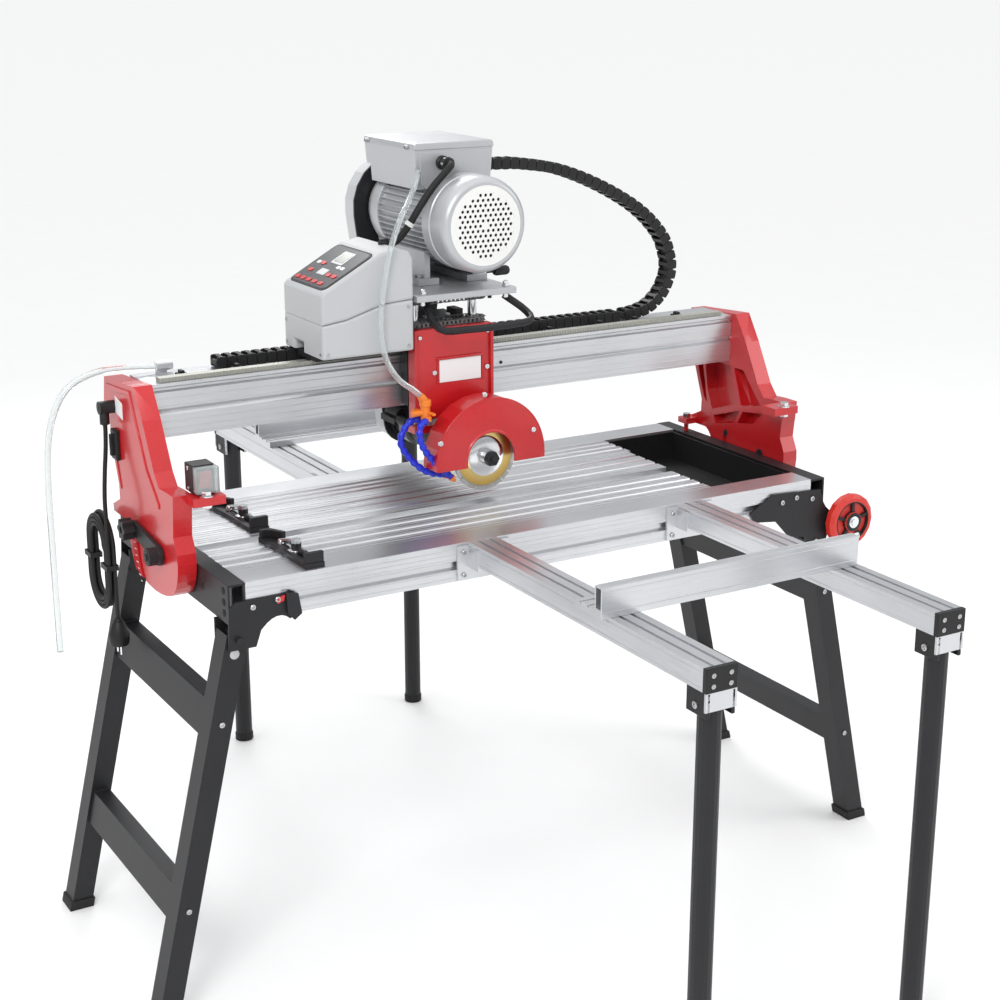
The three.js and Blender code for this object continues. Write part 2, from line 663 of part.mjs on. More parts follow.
function headColumn() {
  const x0 = BLADE_X - 120;
  const x1 = BLADE_X + 48;
  const cover = box(x0, x1, -2, 18, 938, 1108);
  const neck = box(BLADE_X - 50, BLADE_X + 50, -26, 18, BLADE_Z - 30, 940);
  const foot = box(x0 + 8, x1 - 8, 10, 50, 908, 922 - GAP);
  const bore = rodY(13, -40, 30, BLADE_X, BLADE_Z);
  return cut(join(cover, neck, foot), bore);
}

function spindleHousing() {
  return turned([[13, 18 + GAP], [30, 18 + GAP], [30, MOTOR_BACK - 10], [34, MOTOR_BACK - 10],
    [34, MOTOR_BACK + 4], [13, MOTOR_BACK + 4]], BLADE_X, BLADE_Z);
}

function bladeGuard() {
  const r = 115;
  const arc = (radius, low) => {
    const s = new THREE.Shape();
    s.moveTo(BLADE_X + radius, low);
    s.lineTo(BLADE_X + radius, BLADE_Z);
    s.absarc(BLADE_X, BLADE_Z, radius, 0, Math.PI, false);
    s.lineTo(BLADE_X - radius, low);
    return s;
  };
  const shell = prismY(arc(r, BLADE_Z - 12), -82, -27);
  const inside = prismY(arc(r - 3, BLADE_Z - 20), -79, -30);
  const arch = rodY(50, -90, -75, BLADE_X, BLADE_Z, 32);
  const lowArch = box(BLADE_X - 50, BLADE_X + 50, -90, -75, BLADE_Z - 20, BLADE_Z);
  const shaft = rodY(26, -40, -20, BLADE_X, BLADE_Z);
  const below = box(BLADE_X - 26, BLADE_X + 26, -40, -20, BLADE_Z - 20, BLADE_Z);
  return cut(shell, inside, arch, lowArch, shaft, below);
}

function blade() {
  const t = 1.2;
  return turned([[12.4, BLADE_Y - t], [BLADE_R, BLADE_Y - t], [BLADE_R, BLADE_Y + t], [12.4, BLADE_Y + t]],
    BLADE_X, BLADE_Z, 36);
}

// spindle with its flange, turned in one; the nut in front is the separate clamp washer's end
function arbor() {
  const y = BLADE_Y;
  return turned([[0.01, y - 30], [9, y - 30], [9, y - 24], [15, y - 24], [15, y - 8], [22, y - 8],
    [22, y - 1.5], [12, y - 1.5], [12, y + 1.5], [22, y + 1.5], [22, y + 8], [12, y + 8], [12, 300],
    [0.01, 300]], BLADE_X, BLADE_Z, 16);
}

function coolantNozzles() {
  const low = (dy, tipX, tipZ) => tube([
    [-146, dy, 960], [-162, dy, 952], [-172, dy, 915], [-172, dy, 868], [-158, dy, 834],
    [tipX - 20, dy, tipZ + 8], [tipX, dy, tipZ],
  ], 7, 14, 6);
  return join(low(-54, -92, 830), low(-34, -76, 838), coolantValve());
}

function coolantValve() {
  const x = BLADE_X - 112;
  return join(
    rodZ(9, 950, 985, x, -44),
    box(x - 14, x + 14, -60, -26, 952, 968),
    box(x - 6, x + 6, -32, -2 - GAP, 955, 965),
  );
}

function waterHose() {
  return tube([
    [BLADE_X - 112, -44, 985.4], [BLADE_X - 112, -44, 996], [BLADE_X - 114, -46, 1020], [BLADE_X - 118, -48, 1060], [-146, -46, 1180],
    [-140, -42, 1270], [-124, -30, 1345], [-112, -4, 1376], [-104, 34, 1384],
  ], 6, 24);
}

function motorBody() {
  const front = 20 + GAP;
  const back = 240;
  const shell = turned([
    [72, front], [MOTOR_R, front], [MOTOR_R, back], [74, MOTOR_BACK], [13, MOTOR_BACK], [13, MOTOR_BACK - 10],
    [66, MOTOR_BACK - 14], [72, back - 10],
  ], BLADE_X, MOTOR_Z);
  const foot = (s) => box(BLADE_X + s * 52 - 22, BLADE_X + s * 52 + 22, 60, 225, PLATE_Z + 12 + GAP, MOTOR_Z - 62);
  const hollow = rodY(73, front + 1, back, BLADE_X, MOTOR_Z);
  return cut(join(shell, foot(-1), foot(1)), hollow);
}

function motorRotor() {
  return turned([[0.01, 0], [10, 0], [10, 60], [44, 60], [44, 200], [12, 200], [12, 300], [0.01, 300]],
    BLADE_X, MOTOR_Z, 16);
}

function fanCover() {
  const f = FAN_FRONT;
  return turned([
    [0.01, f + 1], [72, f + 1], [72, f], [80, f + 2], [87, f + 9], [89, f + 18], [89, 20], [86, 20], [86, f + 18],
    [84, f + 11], [78, f + 5], [0.01, f + 4],
  ], BLADE_X, MOTOR_Z, 24);
}

function junctionBox() {
  const side = [[BLADE_X - 78, 1356], [BLADE_X - 84, 1428], [BLADE_X - 78, 1441], [BLADE_X + 78, 1441],
    [BLADE_X + 84, 1428], [BLADE_X + 78, 1356]];
  return cut(prismY(side, 55, 255), rodY(MOTOR_R + GAP, 50, 241, BLADE_X, MOTOR_Z, 48),
    box(BLADE_X - 100, BLADE_X + 100, 239, 270, 1300, 1388));
}

const BELT_TOP = 100;
const BELT_LOW = 42;

function beltShell(inset, y0, y1) {
  const top = [BLADE_X, MOTOR_Z, BELT_TOP - inset];
  const low = [BLADE_X, BLADE_Z, BELT_LOW - inset];
  return prismY(linkOutline(low, top, 12), y0, y1);
}

function beltCover() {
  const y0 = MOTOR_BACK + 4 + 6 + GAP;
  return cut(beltShell(0, y0, y0 + 42), beltShell(3, y0 - 1, y0 + 39));
}

function beltBackPlate() {
  const y0 = MOTOR_BACK + 3;
  const plate = beltShell(-4, y0, y0 + 5);
  const foot = box(BLADE_X - 60, BLADE_X + 60, y0, y0 + 5, PLATE_Z - 20, PLATE_Z + 20);
  return cut(join(plate, foot), rodY(20, y0 - 2, y0 + 8, BLADE_X, MOTOR_Z), rodY(13.2, y0 - 2, y0 + 8, BLADE_X, BLADE_Z));
}

const BELT_Y = 288;

function pulley(r, z) {
  const h = 12;
  return turned([[12.3, BELT_Y - h], [r + 3, BELT_Y - h], [r + 3, BELT_Y - h + 2], [r, BELT_Y - h + 2],
    [r, BELT_Y + h - 2], [r + 3, BELT_Y + h - 2], [r + 3, BELT_Y + h], [12.3, BELT_Y + h]], BLADE_X, z);
}

function driveBelt(rMotor, rSpindle) {
  const loop = (extra, y0, y1) => prismY(
    linkOutline([BLADE_X, BLADE_Z, rSpindle + extra], [BLADE_X, MOTOR_Z, rMotor + extra], 10), y0, y1);
  return cut(loop(5, BELT_Y - 8, BELT_Y + 8), loop(0.8, BELT_Y - 9, BELT_Y + 9));
}

// bent handle bar across the front, fixed under the motor's mounting plate
function pushHandle() {
  const z = PLATE_Z - 46;
  return tube([
    [BLADE_X - 88, 6, PLATE_Z - 8], [BLADE_X - 92, -22, PLATE_Z - 34], [BLADE_X - 86, -54, z - 4],
    [BLADE_X - 40, -60, z - 6], [BLADE_X + 60, -60, z - 6], [BLADE_X + 102, -54, z - 2],
    [BLADE_X + 108, -24, z + 10], [BLADE_X + 78, 6, PLATE_Z - 8],
  ], 7, 26);
}

function buildHead() {
  const rMotor = 34;
  const rSpindle = 24;
  add('motor_plate', join(motorPlate(), liftRods()), GREY_PAINT);
  add('push_handle', pushHandle(), BLACK_STEEL);
  add('head_column', headColumn(), RED_PAINT);
  add('blade_guard', bladeGuard(), RED_PAINT);
  add('coolant_nozzles', coolantNozzles(), BLUE_PLASTIC);
  add('water_hose', waterHose(), CLEAR);
  add('motor_body', motorBody(), GREY_PAINT);
  add('fan_cover', fanCover(), GREY_PAINT);
  add('junction_box', junctionBox(), GREY_PAINT);
  add('spindle_housing', join(spindleHousing(), beltBackPlate()), BLACK_STEEL);
  add('belt_cover', beltCover(), GREY_PAINT);
  add('drive_belt', driveBelt(rMotor, rSpindle), RUBBER);
  add('motor_rotor', join(motorRotor(), pulley(rMotor, MOTOR_Z), rodY(14, BELT_Y - 12, BELT_Y + 12, BLADE_X, MOTOR_Z)), STEEL);
  add('arbor', join(arbor(), pulley(rSpindle, BLADE_Z), rodY(14, BELT_Y - 12, BELT_Y + 12, BLADE_X, BLADE_Z)), STEEL);
  add('blade', blade(), STEEL);
}

// energy chain from the motor down to the run on the beam
function energyChainLoop() {
  const points = [[66, 1388], [160, 1388], [248, 1372], [350, 1332], [440, 1280], [500, 1222], [518, 1170],
    [500, 1112], [466, 1078],
    [430, 1066], [410, 1064.8], [396.5, 1064.8]];
  const path = new THREE.CatmullRomCurve3(points.map(([x, z]) => new THREE.Vector3(x, 127, z)));
  const n = 26;
  const inner = [];
  const outer = [];
  for (let i = 0; i <= n; i += 1) {
    const p = path.getPoint(i / n);
    const t = path.getTangent(i / n);
    outer.push([p.x + 11 * t.z, p.z - 11 * t.x]);
    inner.push([p.x - 11 * t.z, p.z + 11 * t.x]);
  }
  return prismY([...outer, ...inner.reverse()], 110, 144);
}

// ---------- switch box and cords on the left bracket ----------
function buildElectrics() {
  const x0 = -BRACKET_X + GAP;
  const x1 = x0 + 40;
  add('breaker_box', box(x0, x1, -132, -96, 903, 952), BLACK_PLASTIC);
  add('breaker_rocker', box(x0 + 10, x1 - 10, -140, -134.4, 914, 942), RED_PAINT);
  const lid = cut(box(x0 - 2 + 3, x1 + 2, -148, -132 - GAP, 906, 950), box(x0 + 4, x1 - 1, -145, -130, 909, 947));
  add('breaker_cover', lid, CLEAR);
}

// hose stub on top of the beam's left end
function hoseCoupling() {
  return join(rodX(9, -590, -560, 140, 1066), box(-588, -572, 132, 148, BRIDGE_Z1 - 1, 1066));
}

const OUTER_FACE = -BRACKET_X - BRACKET_T - GAP;
const CORD_X = OUTER_FACE - 28;          // line in which the cord hangs
const CORD_Y = 150;                      // where the cord leaves the bracket
const HANK_Y = 190;
const RUN_Y = HANK_Y - 57.5;             // outer run of the hank, where the cord comes in and goes out
const RUN_X = CORD_X - 5;

// elbow gland on the bracket's outer face; the cord leaves it downwards
function cordGland() {
  const x = OUTER_FACE - 18;
  return join(rodX(12, x - 10, OUTER_FACE, CORD_Y, 1000), rodZ(9, 970, 1000, x, CORD_Y));
}

function cordHank() {
  const s = new THREE.Shape();
  s.absarc(HANK_Y, 672, 62, Math.PI, 0, false);
  s.absarc(HANK_Y, 740, 62, 0, Math.PI, false);
  return prismX(s, CORD_X - 13, CORD_X + 13);
}

function plug() {
  const x = CORD_X + 5;
  const pin = (dy) => rodZ(2.4, 540, 561, x, RUN_Y + dy, 8);
  return join(rodZ(20, 560, 600, x, RUN_Y), rodZ(7, 599, 609.7, x, RUN_Y), pin(-9.5), pin(9.5));
}

function buildCords() {
  add('cord_gland', cordGland(), BLACK_PLASTIC);
  const x = OUTER_FACE - 18;
  add('power_cord', tube([
    [x, CORD_Y, 969.7], [x, CORD_Y, 955], [x - 2, CORD_Y - 1, 925], [x - 7, CORD_Y - 5, 890],
    [x - 12, CORD_Y - 11, 855], [RUN_X, RUN_Y + 1, 825], [RUN_X, RUN_Y, 800], [RUN_X, RUN_Y, 772],
  ], 4, 26), RUBBER);
  add('cord_hank', cordHank(), RUBBER);
  add('plug', plug(), BLACK_PLASTIC);
  add('hose_tail', tube([
    [-590.3, 140, 1066], [-604, 140, 1066], [-645, 142, 1069], [-700, 144, 1066], [-752, 146, 1042],
    [-784, 146, 985], [-796, 146, 900], [-798, 146, 760], [-798, 146, 560],
  ], 6, 30), CLEAR);
}

buildTable();
buildGantry();
buildLegs();
buildArms();
add('angle_stop_front', angleStop(-166), BLACK_STEEL);
add('angle_stop_rear', angleStop(66), BLACK_STEEL);
buildCarriage();
buildHead();
add('energy_chain_loop', energyChainLoop(), BLACK_PLASTIC);
buildElectrics();
buildCords();

// the origin moves to the middle of the saw's depth
const FRONT_END = TABLE_HALF_Y + FRONT_REACH + GAP + 6;
const REAR_END = TABLE_HALF_Y + REAR_REACH + GAP + 6;
saw.position.y = (FRONT_END - REAR_END) / 2;
saw.updateMatrixWorld(true);

export default saw;
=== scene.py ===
from math import cos, hypot, pi, radians, sin, sqrt

import bmesh
import bpy
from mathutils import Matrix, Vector


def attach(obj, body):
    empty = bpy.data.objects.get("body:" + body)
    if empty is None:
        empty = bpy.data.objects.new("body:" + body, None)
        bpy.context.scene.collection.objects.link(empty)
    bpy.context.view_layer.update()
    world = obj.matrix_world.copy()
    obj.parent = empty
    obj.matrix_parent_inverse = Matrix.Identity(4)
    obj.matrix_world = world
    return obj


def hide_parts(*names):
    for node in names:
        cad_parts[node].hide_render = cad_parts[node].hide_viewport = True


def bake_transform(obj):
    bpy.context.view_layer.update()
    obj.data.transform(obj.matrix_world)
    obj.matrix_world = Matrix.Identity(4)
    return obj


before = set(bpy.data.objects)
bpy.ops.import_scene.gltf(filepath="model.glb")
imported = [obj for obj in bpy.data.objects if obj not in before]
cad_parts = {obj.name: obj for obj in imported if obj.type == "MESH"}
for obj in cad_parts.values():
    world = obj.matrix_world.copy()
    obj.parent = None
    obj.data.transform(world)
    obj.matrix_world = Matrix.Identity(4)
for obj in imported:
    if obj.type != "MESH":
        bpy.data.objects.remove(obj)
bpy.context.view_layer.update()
DEPTH_SHIFT = 68.5      # added to a depth in the drawing to give the row's, in mm
CAMERA_PLACE = (-1.6653, -2.8143, 1.7636)
CAMERA_DOWN = 16.74     # degrees below level
CAMERA_RIGHT = 30.63    # degrees to the right of straight ahead
CAMERA_LENS = 64.86
FLOOR_REACH = 400       # metres from the middle to each side


def row(p):
    """A point of the drawing, in mm, as a point of the row frame, in metres."""
    return Vector((p[0] / 1000, (p[1] + DEPTH_SHIFT) / 1000, p[2] / 1000))


def add_object(name, data):
    o = bpy.data.objects.new(name, data)
    bpy.context.scene.collection.objects.link(o)
    return o


# ---------- camera, floor and light ----------
def make_camera():
    data = bpy.data.cameras.new("camera")
    data.lens = CAMERA_LENS
    camera = add_object("camera", data)
    camera.location = CAMERA_PLACE
    camera.rotation_euler = (radians(90 - CAMERA_DOWN), 0, radians(-CAMERA_RIGHT))
    bpy.context.scene.camera = camera


def area_light(name, place, target, size, watts):
    data = bpy.data.lights.new(name, "AREA")
    data.size = size
    data.energy = watts
    lamp = add_object(name, data)
    lamp.location = place
    lamp.rotation_euler = (Vector(target) - Vector(place)).to_track_quat("-Z", "Y").to_euler()


def make_stage():
    world = bpy.data.worlds.new("studio")
    bpy.context.scene.world = world
    world.use_nodes = True
    nodes, links = world.node_tree.nodes, world.node_tree.links
    place = nodes.new("ShaderNodeTexCoord")
    split = nodes.new("ShaderNodeSeparateXYZ")
    links.new(place.outputs["Generated"], split.inputs[0])
    ramp = nodes.new("ShaderNodeValToRGB")
    ramp.color_ramp.elements[0].position = 0.0
    ramp.color_ramp.elements[0].color = (0.30, 0.31, 0.32, 1)
    ramp.color_ramp.elements[1].position = 0.75
    ramp.color_ramp.elements[1].color = (1, 1, 1, 1)
    middle = ramp.color_ramp.elements.new(0.38)
    middle.color = (0.42, 0.43, 0.44, 1)
    links.new(split.outputs["Z"], ramp.inputs["Fac"])
    links.new(ramp.outputs["Color"], nodes["Background"].inputs["Color"])
    nodes["Background"].inputs["Strength"].default_value = 1.25
    area_light("key", (-2.4, -2.4, 3.2), (0, 0, 0.9), 1.2, 60)
    area_light("fill", (2.8, -1.6, 2.2), (0, 0, 0.9), 1.4, 18)
    area_light("back", (0.6, 2.6, 3.0), (0, 0, 1.0), 1.2, 30)
    mesh = bpy.data.meshes.new("floor")
    corners = [(x * FLOOR_REACH, y * FLOOR_REACH, 0) for x, y in ((-1, -1), (1, -1), (1, 1), (-1, 1))]
    mesh.from_pydata(corners, [], [(0, 1, 2, 3)])
    floor = add_object("floor", mesh)
    mesh.materials.append(finish("floor_white", (0.93, 0.93, 0.93), 0.9, speckle=0.01))
    bpy.context.scene.view_settings.view_transform = "Standard"


# ---------- materials ----------
MATERIALS = {}
FINE_DETAIL = 4
BROAD_SCALE, BROAD_DETAIL = 6, 5
BUMP_DEPTH = 0.0003     # metres
COAT_ROUGH = 0.12


def set_inputs(node, values):
    for name, value in values.items():
        node.inputs[name].default_value = value
    return node


def finish(name, color, rough, metal=0.0, coat=0.0, grain=(1, 1, 1), scale=300.0, bump=0.1, speckle=0.08,
        rough_spread=0.08, specular=0.5):
    """Procedural finish: broad and fine noise in colour and roughness, and a fine bump along grain."""
    if name in MATERIALS:
        return MATERIALS[name]
    m = bpy.data.materials.new(name)
    m.use_nodes = True
    nodes, links = m.node_tree.nodes, m.node_tree.links
    shader = nodes["Principled BSDF"]
    set_inputs(shader, {"Metallic": metal, "Coat Weight": coat, "Coat Roughness": COAT_ROUGH,
            "Specular IOR Level": specular})
    place = nodes.new("ShaderNodeTexCoord")
    stretch = set_inputs(nodes.new("ShaderNodeMapping"), {"Scale": grain})
    links.new(place.outputs["Object"], stretch.inputs["Vector"])
    fine = set_inputs(nodes.new("ShaderNodeTexNoise"), {"Scale": scale, "Detail": FINE_DETAIL})
    links.new(stretch.outputs["Vector"], fine.inputs["Vector"])
    broad = set_inputs(nodes.new("ShaderNodeTexNoise"), {"Scale": BROAD_SCALE, "Detail": BROAD_DETAIL})
    links.new(place.outputs["Object"], broad.inputs["Vector"])
    both = set_inputs(nodes.new("ShaderNodeMix"), {0: 0.5})
    links.new(fine.outputs["Fac"], both.inputs[2])
    links.new(broad.outputs["Fac"], both.inputs[3])
    ramp = nodes.new("ShaderNodeValToRGB")
    ramp.color_ramp.elements[0].position = 0.3
    ramp.color_ramp.elements[1].position = 0.7
    low = [max(0.0, c * (1 - speckle)) for c in color[:3]]
    high = [min(1.0, c * (1 + speckle) + speckle * 0.01) for c in color[:3]]
    ramp.color_ramp.elements[0].color = (*low, 1)
    ramp.color_ramp.elements[1].color = (*high, 1)
    links.new(both.outputs[0], ramp.inputs["Fac"])
    links.new(ramp.outputs["Color"], shader.inputs["Base Color"])
    spread = set_inputs(nodes.new("ShaderNodeMapRange"), {"To Min": max(0.02, rough - rough_spread),
            "To Max": min(1.0, rough + rough_spread)})
    links.new(both.outputs[0], spread.inputs["Value"])
    links.new(spread.outputs["Result"], shader.inputs["Roughness"])
    relief = set_inputs(nodes.new("ShaderNodeBump"), {"Strength": bump, "Distance": BUMP_DEPTH})
    links.new(fine.outputs["Fac"], relief.inputs["Height"])
    links.new(relief.outputs["Normal"], shader.inputs["Normal"])
    MATERIALS[name] = m
    return m


def clear_finish(name, color, rough):
    m = finish(name, color, rough, speckle=0.03, rough_spread=0.04, scale=80, bump=0.05)
    shader = m.node_tree.nodes["Principled BSDF"]
    set_inputs(shader, {"Transmission Weight": 0.75, "IOR": 1.35})
    return m


def blade_finish():
    """Gold-tinted core inside a bright diamond rim, told apart by the distance from the spindle."""
    m = finish("blade_faces", (0.8, 0.7, 0.45), 0.3, metal=1.0, scale=500, bump=0.2)
    nodes, links = m.node_tree.nodes, m.node_tree.links
    shader = nodes["Principled BSDF"]
    place = nodes.new("ShaderNodeTexCoord")
    split = nodes.new("ShaderNodeSeparateXYZ")
    links.new(place.outputs["Object"], split.inputs[0])
    across = nodes.new("ShaderNodeMath")
    across.operation = "ADD"
    across.inputs[1].default_value = 0.025
    links.new(split.outputs["X"], across.inputs[0])
    up = nodes.new("ShaderNodeMath")
    up.operation = "SUBTRACT"
    up.inputs[1].default_value = 0.868
    links.new(split.outputs["Z"], up.inputs[0])
    flat = nodes.new("ShaderNodeCombineXYZ")
    links.new(across.outputs[0], flat.inputs[0])
    links.new(up.outputs[0], flat.inputs[1])
    reach = nodes.new("ShaderNodeVectorMath")
    reach.operation = "LENGTH"
    links.new(flat.outputs[0], reach.inputs[0])
    rings = set_inputs(nodes.new("ShaderNodeMapRange"), {"From Max": 0.066})
    links.new(reach.outputs["Value"], rings.inputs["Value"])
    ramp = nodes.new("ShaderNodeValToRGB")
    ramp.color_ramp.elements[0].color = (0.62, 0.6, 0.55, 1)
    ramp.color_ramp.elements[1].color = (0.62, 0.61, 0.58, 1)
    ramp.color_ramp.elements[1].position = 0.93
    for position, color in ((0.42, (0.62, 0.6, 0.55)), (0.45, (0.8, 0.58, 0.2)), (0.6, (0.88, 0.68, 0.28)),
            (0.84, (0.78, 0.5, 0.12)), (0.87, (0.5, 0.45, 0.35))):
        element = ramp.color_ramp.elements.new(position)
        element.color = (*color, 1)
    links.new(rings.outputs["Result"], ramp.inputs["Fac"])
    links.new(ramp.outputs["Color"], shader.inputs["Base Color"])
    return m


ALONG_X = (0.02, 1, 1)
ALONG_Y = (1, 0.02, 1)


def make_materials():
    finish("aluminium_x", (0.66, 0.67, 0.69), 0.30, metal=0.85, grain=ALONG_X, scale=900, bump=0.25,
            speckle=0.10)
    finish("aluminium_y", (0.66, 0.67, 0.69), 0.30, metal=0.85, grain=ALONG_Y, scale=900, bump=0.25,
            speckle=0.10)
    finish("black_coat", (0.014, 0.014, 0.016), 0.45, scale=700, bump=0.35, speckle=0.25, specular=0.35)
    finish("black_mould", (0.012, 0.012, 0.013), 0.48, scale=900, bump=0.3, speckle=0.2, specular=0.35)
    finish("red_cast", (0.55, 0.008, 0.012), 0.34, scale=260, bump=0.3, speckle=0.12, coat=0.5)
    finish("red_mould", (0.6, 0.012, 0.012), 0.3, scale=300, bump=0.1, speckle=0.08, coat=0.3)
    finish("grey_mould", (0.50, 0.51, 0.52), 0.5, scale=1100, bump=0.3, speckle=0.05)
    finish("silver_paint", (0.52, 0.53, 0.545), 0.38, metal=0.45, scale=500, bump=0.25, speckle=0.06)
    finish("belt_paint", (0.60, 0.61, 0.62), 0.4, metal=0.2, scale=500, bump=0.15, speckle=0.04)
    finish("chrome", (0.8, 0.81, 0.82), 0.16, metal=1.0, scale=400, bump=0.05, speckle=0.05)
    finish("steel_raw", (0.52, 0.52, 0.53), 0.33, metal=1.0, scale=600, bump=0.3, speckle=0.15)
    finish("rubber_black", (0.012, 0.012, 0.012), 0.6, scale=500, bump=0.2, speckle=0.2, specular=0.35)
    finish("wheel_red", (0.62, 0.03, 0.02), 0.38, scale=200, bump=0.1, speckle=0.08)
    finish("nozzle_blue", (0.012, 0.03, 0.62), 0.35, scale=300, bump=0.1, speckle=0.1)
    finish("orange_mould", (0.85, 0.22, 0.02), 0.35, scale=300, bump=0.1, speckle=0.08)
    finish("label_white", (0.86, 0.86, 0.86), 0.45, scale=600, bump=0.05, speckle=0.02)
    finish("panel_dark", (0.03, 0.03, 0.035), 0.35, scale=800, bump=0.1, speckle=0.15)
    finish("dull_grey", (0.22, 0.22, 0.22), 0.5, metal=0.6, scale=500, bump=0.3, speckle=0.2)
    finish("white_mould", (0.8, 0.8, 0.78), 0.45, scale=500, bump=0.1, speckle=0.04)
    finish("rack_grey", (0.42, 0.42, 0.38), 0.5, metal=0.7, scale=500, bump=0.3, speckle=0.15)
    finish("display", (0.28, 0.31, 0.26), 0.2, scale=100, bump=0.02, speckle=0.05, coat=0.5)
    # painted shade: near-black stands in for the dark inside of the end plate holes
    finish("hole_painted_shade", (0.004, 0.004, 0.004), 0.8, scale=300, speckle=0.1)
    clear_finish("clear_tube", (0.86, 0.9, 0.9), 0.12)
    blade_finish()


# ---------- shapes in the drawing's frame, in mm ----------
def block(x0, x1, y0, y1, z0, z1):
    v = [(x, y, z) for z in (z0, z1) for y in (y0, y1) for x in (x0, x1)]
    f = [(0, 2, 3, 1), (4, 5, 7, 6), (0, 1, 5, 4), (2, 6, 7, 3), (0, 4, 6, 2), (1, 3, 7, 5)]
    return v, f


def on_axis(axis, a, u, v):
    """Point at a along the axis and (u, v) across it: X with (y, z), Y with (x, z), Z with (x, y)."""
    return {"X": (a, u, v), "Y": (u, a, v), "Z": (u, v, a)}[axis]


def lathe(axis, profile, u, v, n=32, closed=False):
    """Profile of (radius, place along the axis) turned round the axis, capped at its ends."""
    verts, faces = [], []
    for r, a in profile:
        for i in range(n):
            t = 2 * pi * i / n
            verts.append(on_axis(axis, a, u + r * cos(t), v + r * sin(t)))
    count = len(profile)
    for k in range(count if closed else count - 1):
        m = (k + 1) % count
        for i in range(n):
            j = (i + 1) % n
            faces.append((k * n + i, k * n + j, m * n + j, m * n + i))
    if not closed:
        faces.append(tuple(range(n)))
        faces.append(tuple((count - 1) * n + i for i in reversed(range(n))))
    return verts, faces


def rod(axis, r, a0, a1, u, v, n=24):
    e = min(0.8, r * 0.2, abs(a1 - a0) * 0.2)
    return lathe(axis, [(r - e, a0), (r, a0 + e), (r, a1 - e), (r - e, a1)], u, v, n)


def prism(axis, outline, a0, a1):
    n = len(outline)
    verts = [on_axis(axis, a, u, v) for a in (a0, a1) for u, v in outline]
    faces = [tuple(reversed(range(n))), tuple(range(n, 2 * n))]
    faces += [(i, (i + 1) % n, n + (i + 1) % n, n + i) for i in range(n)]
    return verts, faces


def smooth_path(points, count):
    """Points along a Catmull-Rom curve through the given ones, evenly spaced."""
    p = [Vector(q) for q in points]
    p = [p[0] * 2 - p[1]] + p + [p[-1] * 2 - p[-2]]
    dense = []
    for i in range(1, len(p) - 2):
        for k in range(24):
            t = k / 24
            dense.append(0.5 * (2 * p[i] + (p[i + 1] - p[i - 1]) * t
                    + (2 * p[i - 1] - 5 * p[i] + 4 * p[i + 1] - p[i + 2]) * t * t
                    + (3 * p[i] - p[i - 1] - 3 * p[i + 1] + p[i + 2]) * t ** 3))
    dense.append(p[-2].copy())
    lengths = [0.0]
    for a, b in zip(dense, dense[1:]):
        lengths.append(lengths[-1] + (b - a).length)
    out, k = [], 0
    for i in range(count):
        want = lengths[-1] * i / (count - 1)
        while k < len(lengths) - 2 and lengths[k + 1] < want:
            k += 1
        span = lengths[k + 1] - lengths[k]
        t = (want - lengths[k]) / span if span else 0
        out.append(dense[k].lerp(dense[k + 1], min(1, max(0, t))))
    return out


def sweep(points, radius, sides=12, radii=None):
    """Round tube along points; radii may give each point its own radius."""
    verts, faces = [], []
    tangent = (points[1] - points[0]).normalized()
    side = tangent.orthogonal().normalized()
    for i, p in enumerate(points):
        a = points[max(0, i - 1)]
        b = points[min(len(points) - 1, i + 1)]
        tangent = (b - a).normalized()
        side = (side - tangent * side.dot(tangent)).normalized()
        other = tangent.cross(side)
        r = radii[i] if radii else radius
        for k in range(sides):
            t = 2 * pi * k / sides
            verts.append(tuple(p + side * (r * cos(t)) + other * (r * sin(t))))
    for i in range(len(points) - 1):
        for k in range(sides):
            j = (k + 1) % sides
            faces.append((i * sides + k, i * sides + j, (i + 1) * sides + j, (i + 1) * sides + k))
    faces.append(tuple(reversed(range(sides))))
    faces.append(tuple((len(points) - 1) * sides + k for k in range(sides)))
    return verts, faces


def merged(shapes):
    verts, faces = [], []
    for v, f in shapes:
        base = len(verts)
        verts += v
        faces += [tuple(base + i for i in face) for face in f]
    return verts, faces


def soften(o, bevel, angle=35):
    if bevel:
        mod = o.modifiers.new("edge", "BEVEL")
        mod.width = bevel / 1000
        mod.segments = 2
        mod.limit_method = "ANGLE"
        mod.angle_limit = radians(angle)
        mod.use_clamp_overlap = True


SHARP_EDGE = 38          # degrees between two faces


def piece(name, shapes, material, body, bevel=0.0, replaces=()):
    """Mesh of the shapes, riding on the body."""
    verts, faces = merged(shapes)
    mesh = bpy.data.meshes.new(name)
    mesh.from_pydata([row(p) for p in verts], [], faces)
    bm = bmesh.new()
    bm.from_mesh(mesh)
    bmesh.ops.recalc_face_normals(bm, faces=bm.faces)
    bm.to_mesh(mesh)
    bm.free()
    for polygon in mesh.polygons:
        polygon.use_smooth = True
    mesh.set_sharp_from_angle(angle=radians(SHARP_EDGE))
    mesh.materials.append(MATERIALS[material])
    o = add_object(name, mesh)
    soften(o, bevel)
    if body:
        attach(o, body)
    if replaces:
        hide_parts(*replaces)
    return o


def hex_head(axis, a0, a1, u, v, r):
    outline = [(u + r * cos(pi / 3 * k), v + r * sin(pi / 3 * k)) for k in range(6)]
    return prism(axis, outline, min(a0, a1), max(a0, a1))


def socket_screw(axis, face, out, u, v, r=5.0, h=4.0):
    """Cap screw on a face; out is +1 or -1, the way it stands from the face."""
    profile = [(r, face), (r, face + out * h * 0.8), (r * 0.85, face + out * h), (r * 0.5, face + out * h),
            (r * 0.45, face + out * h * 0.4)]
    return lathe(axis, profile, u, v, 16)


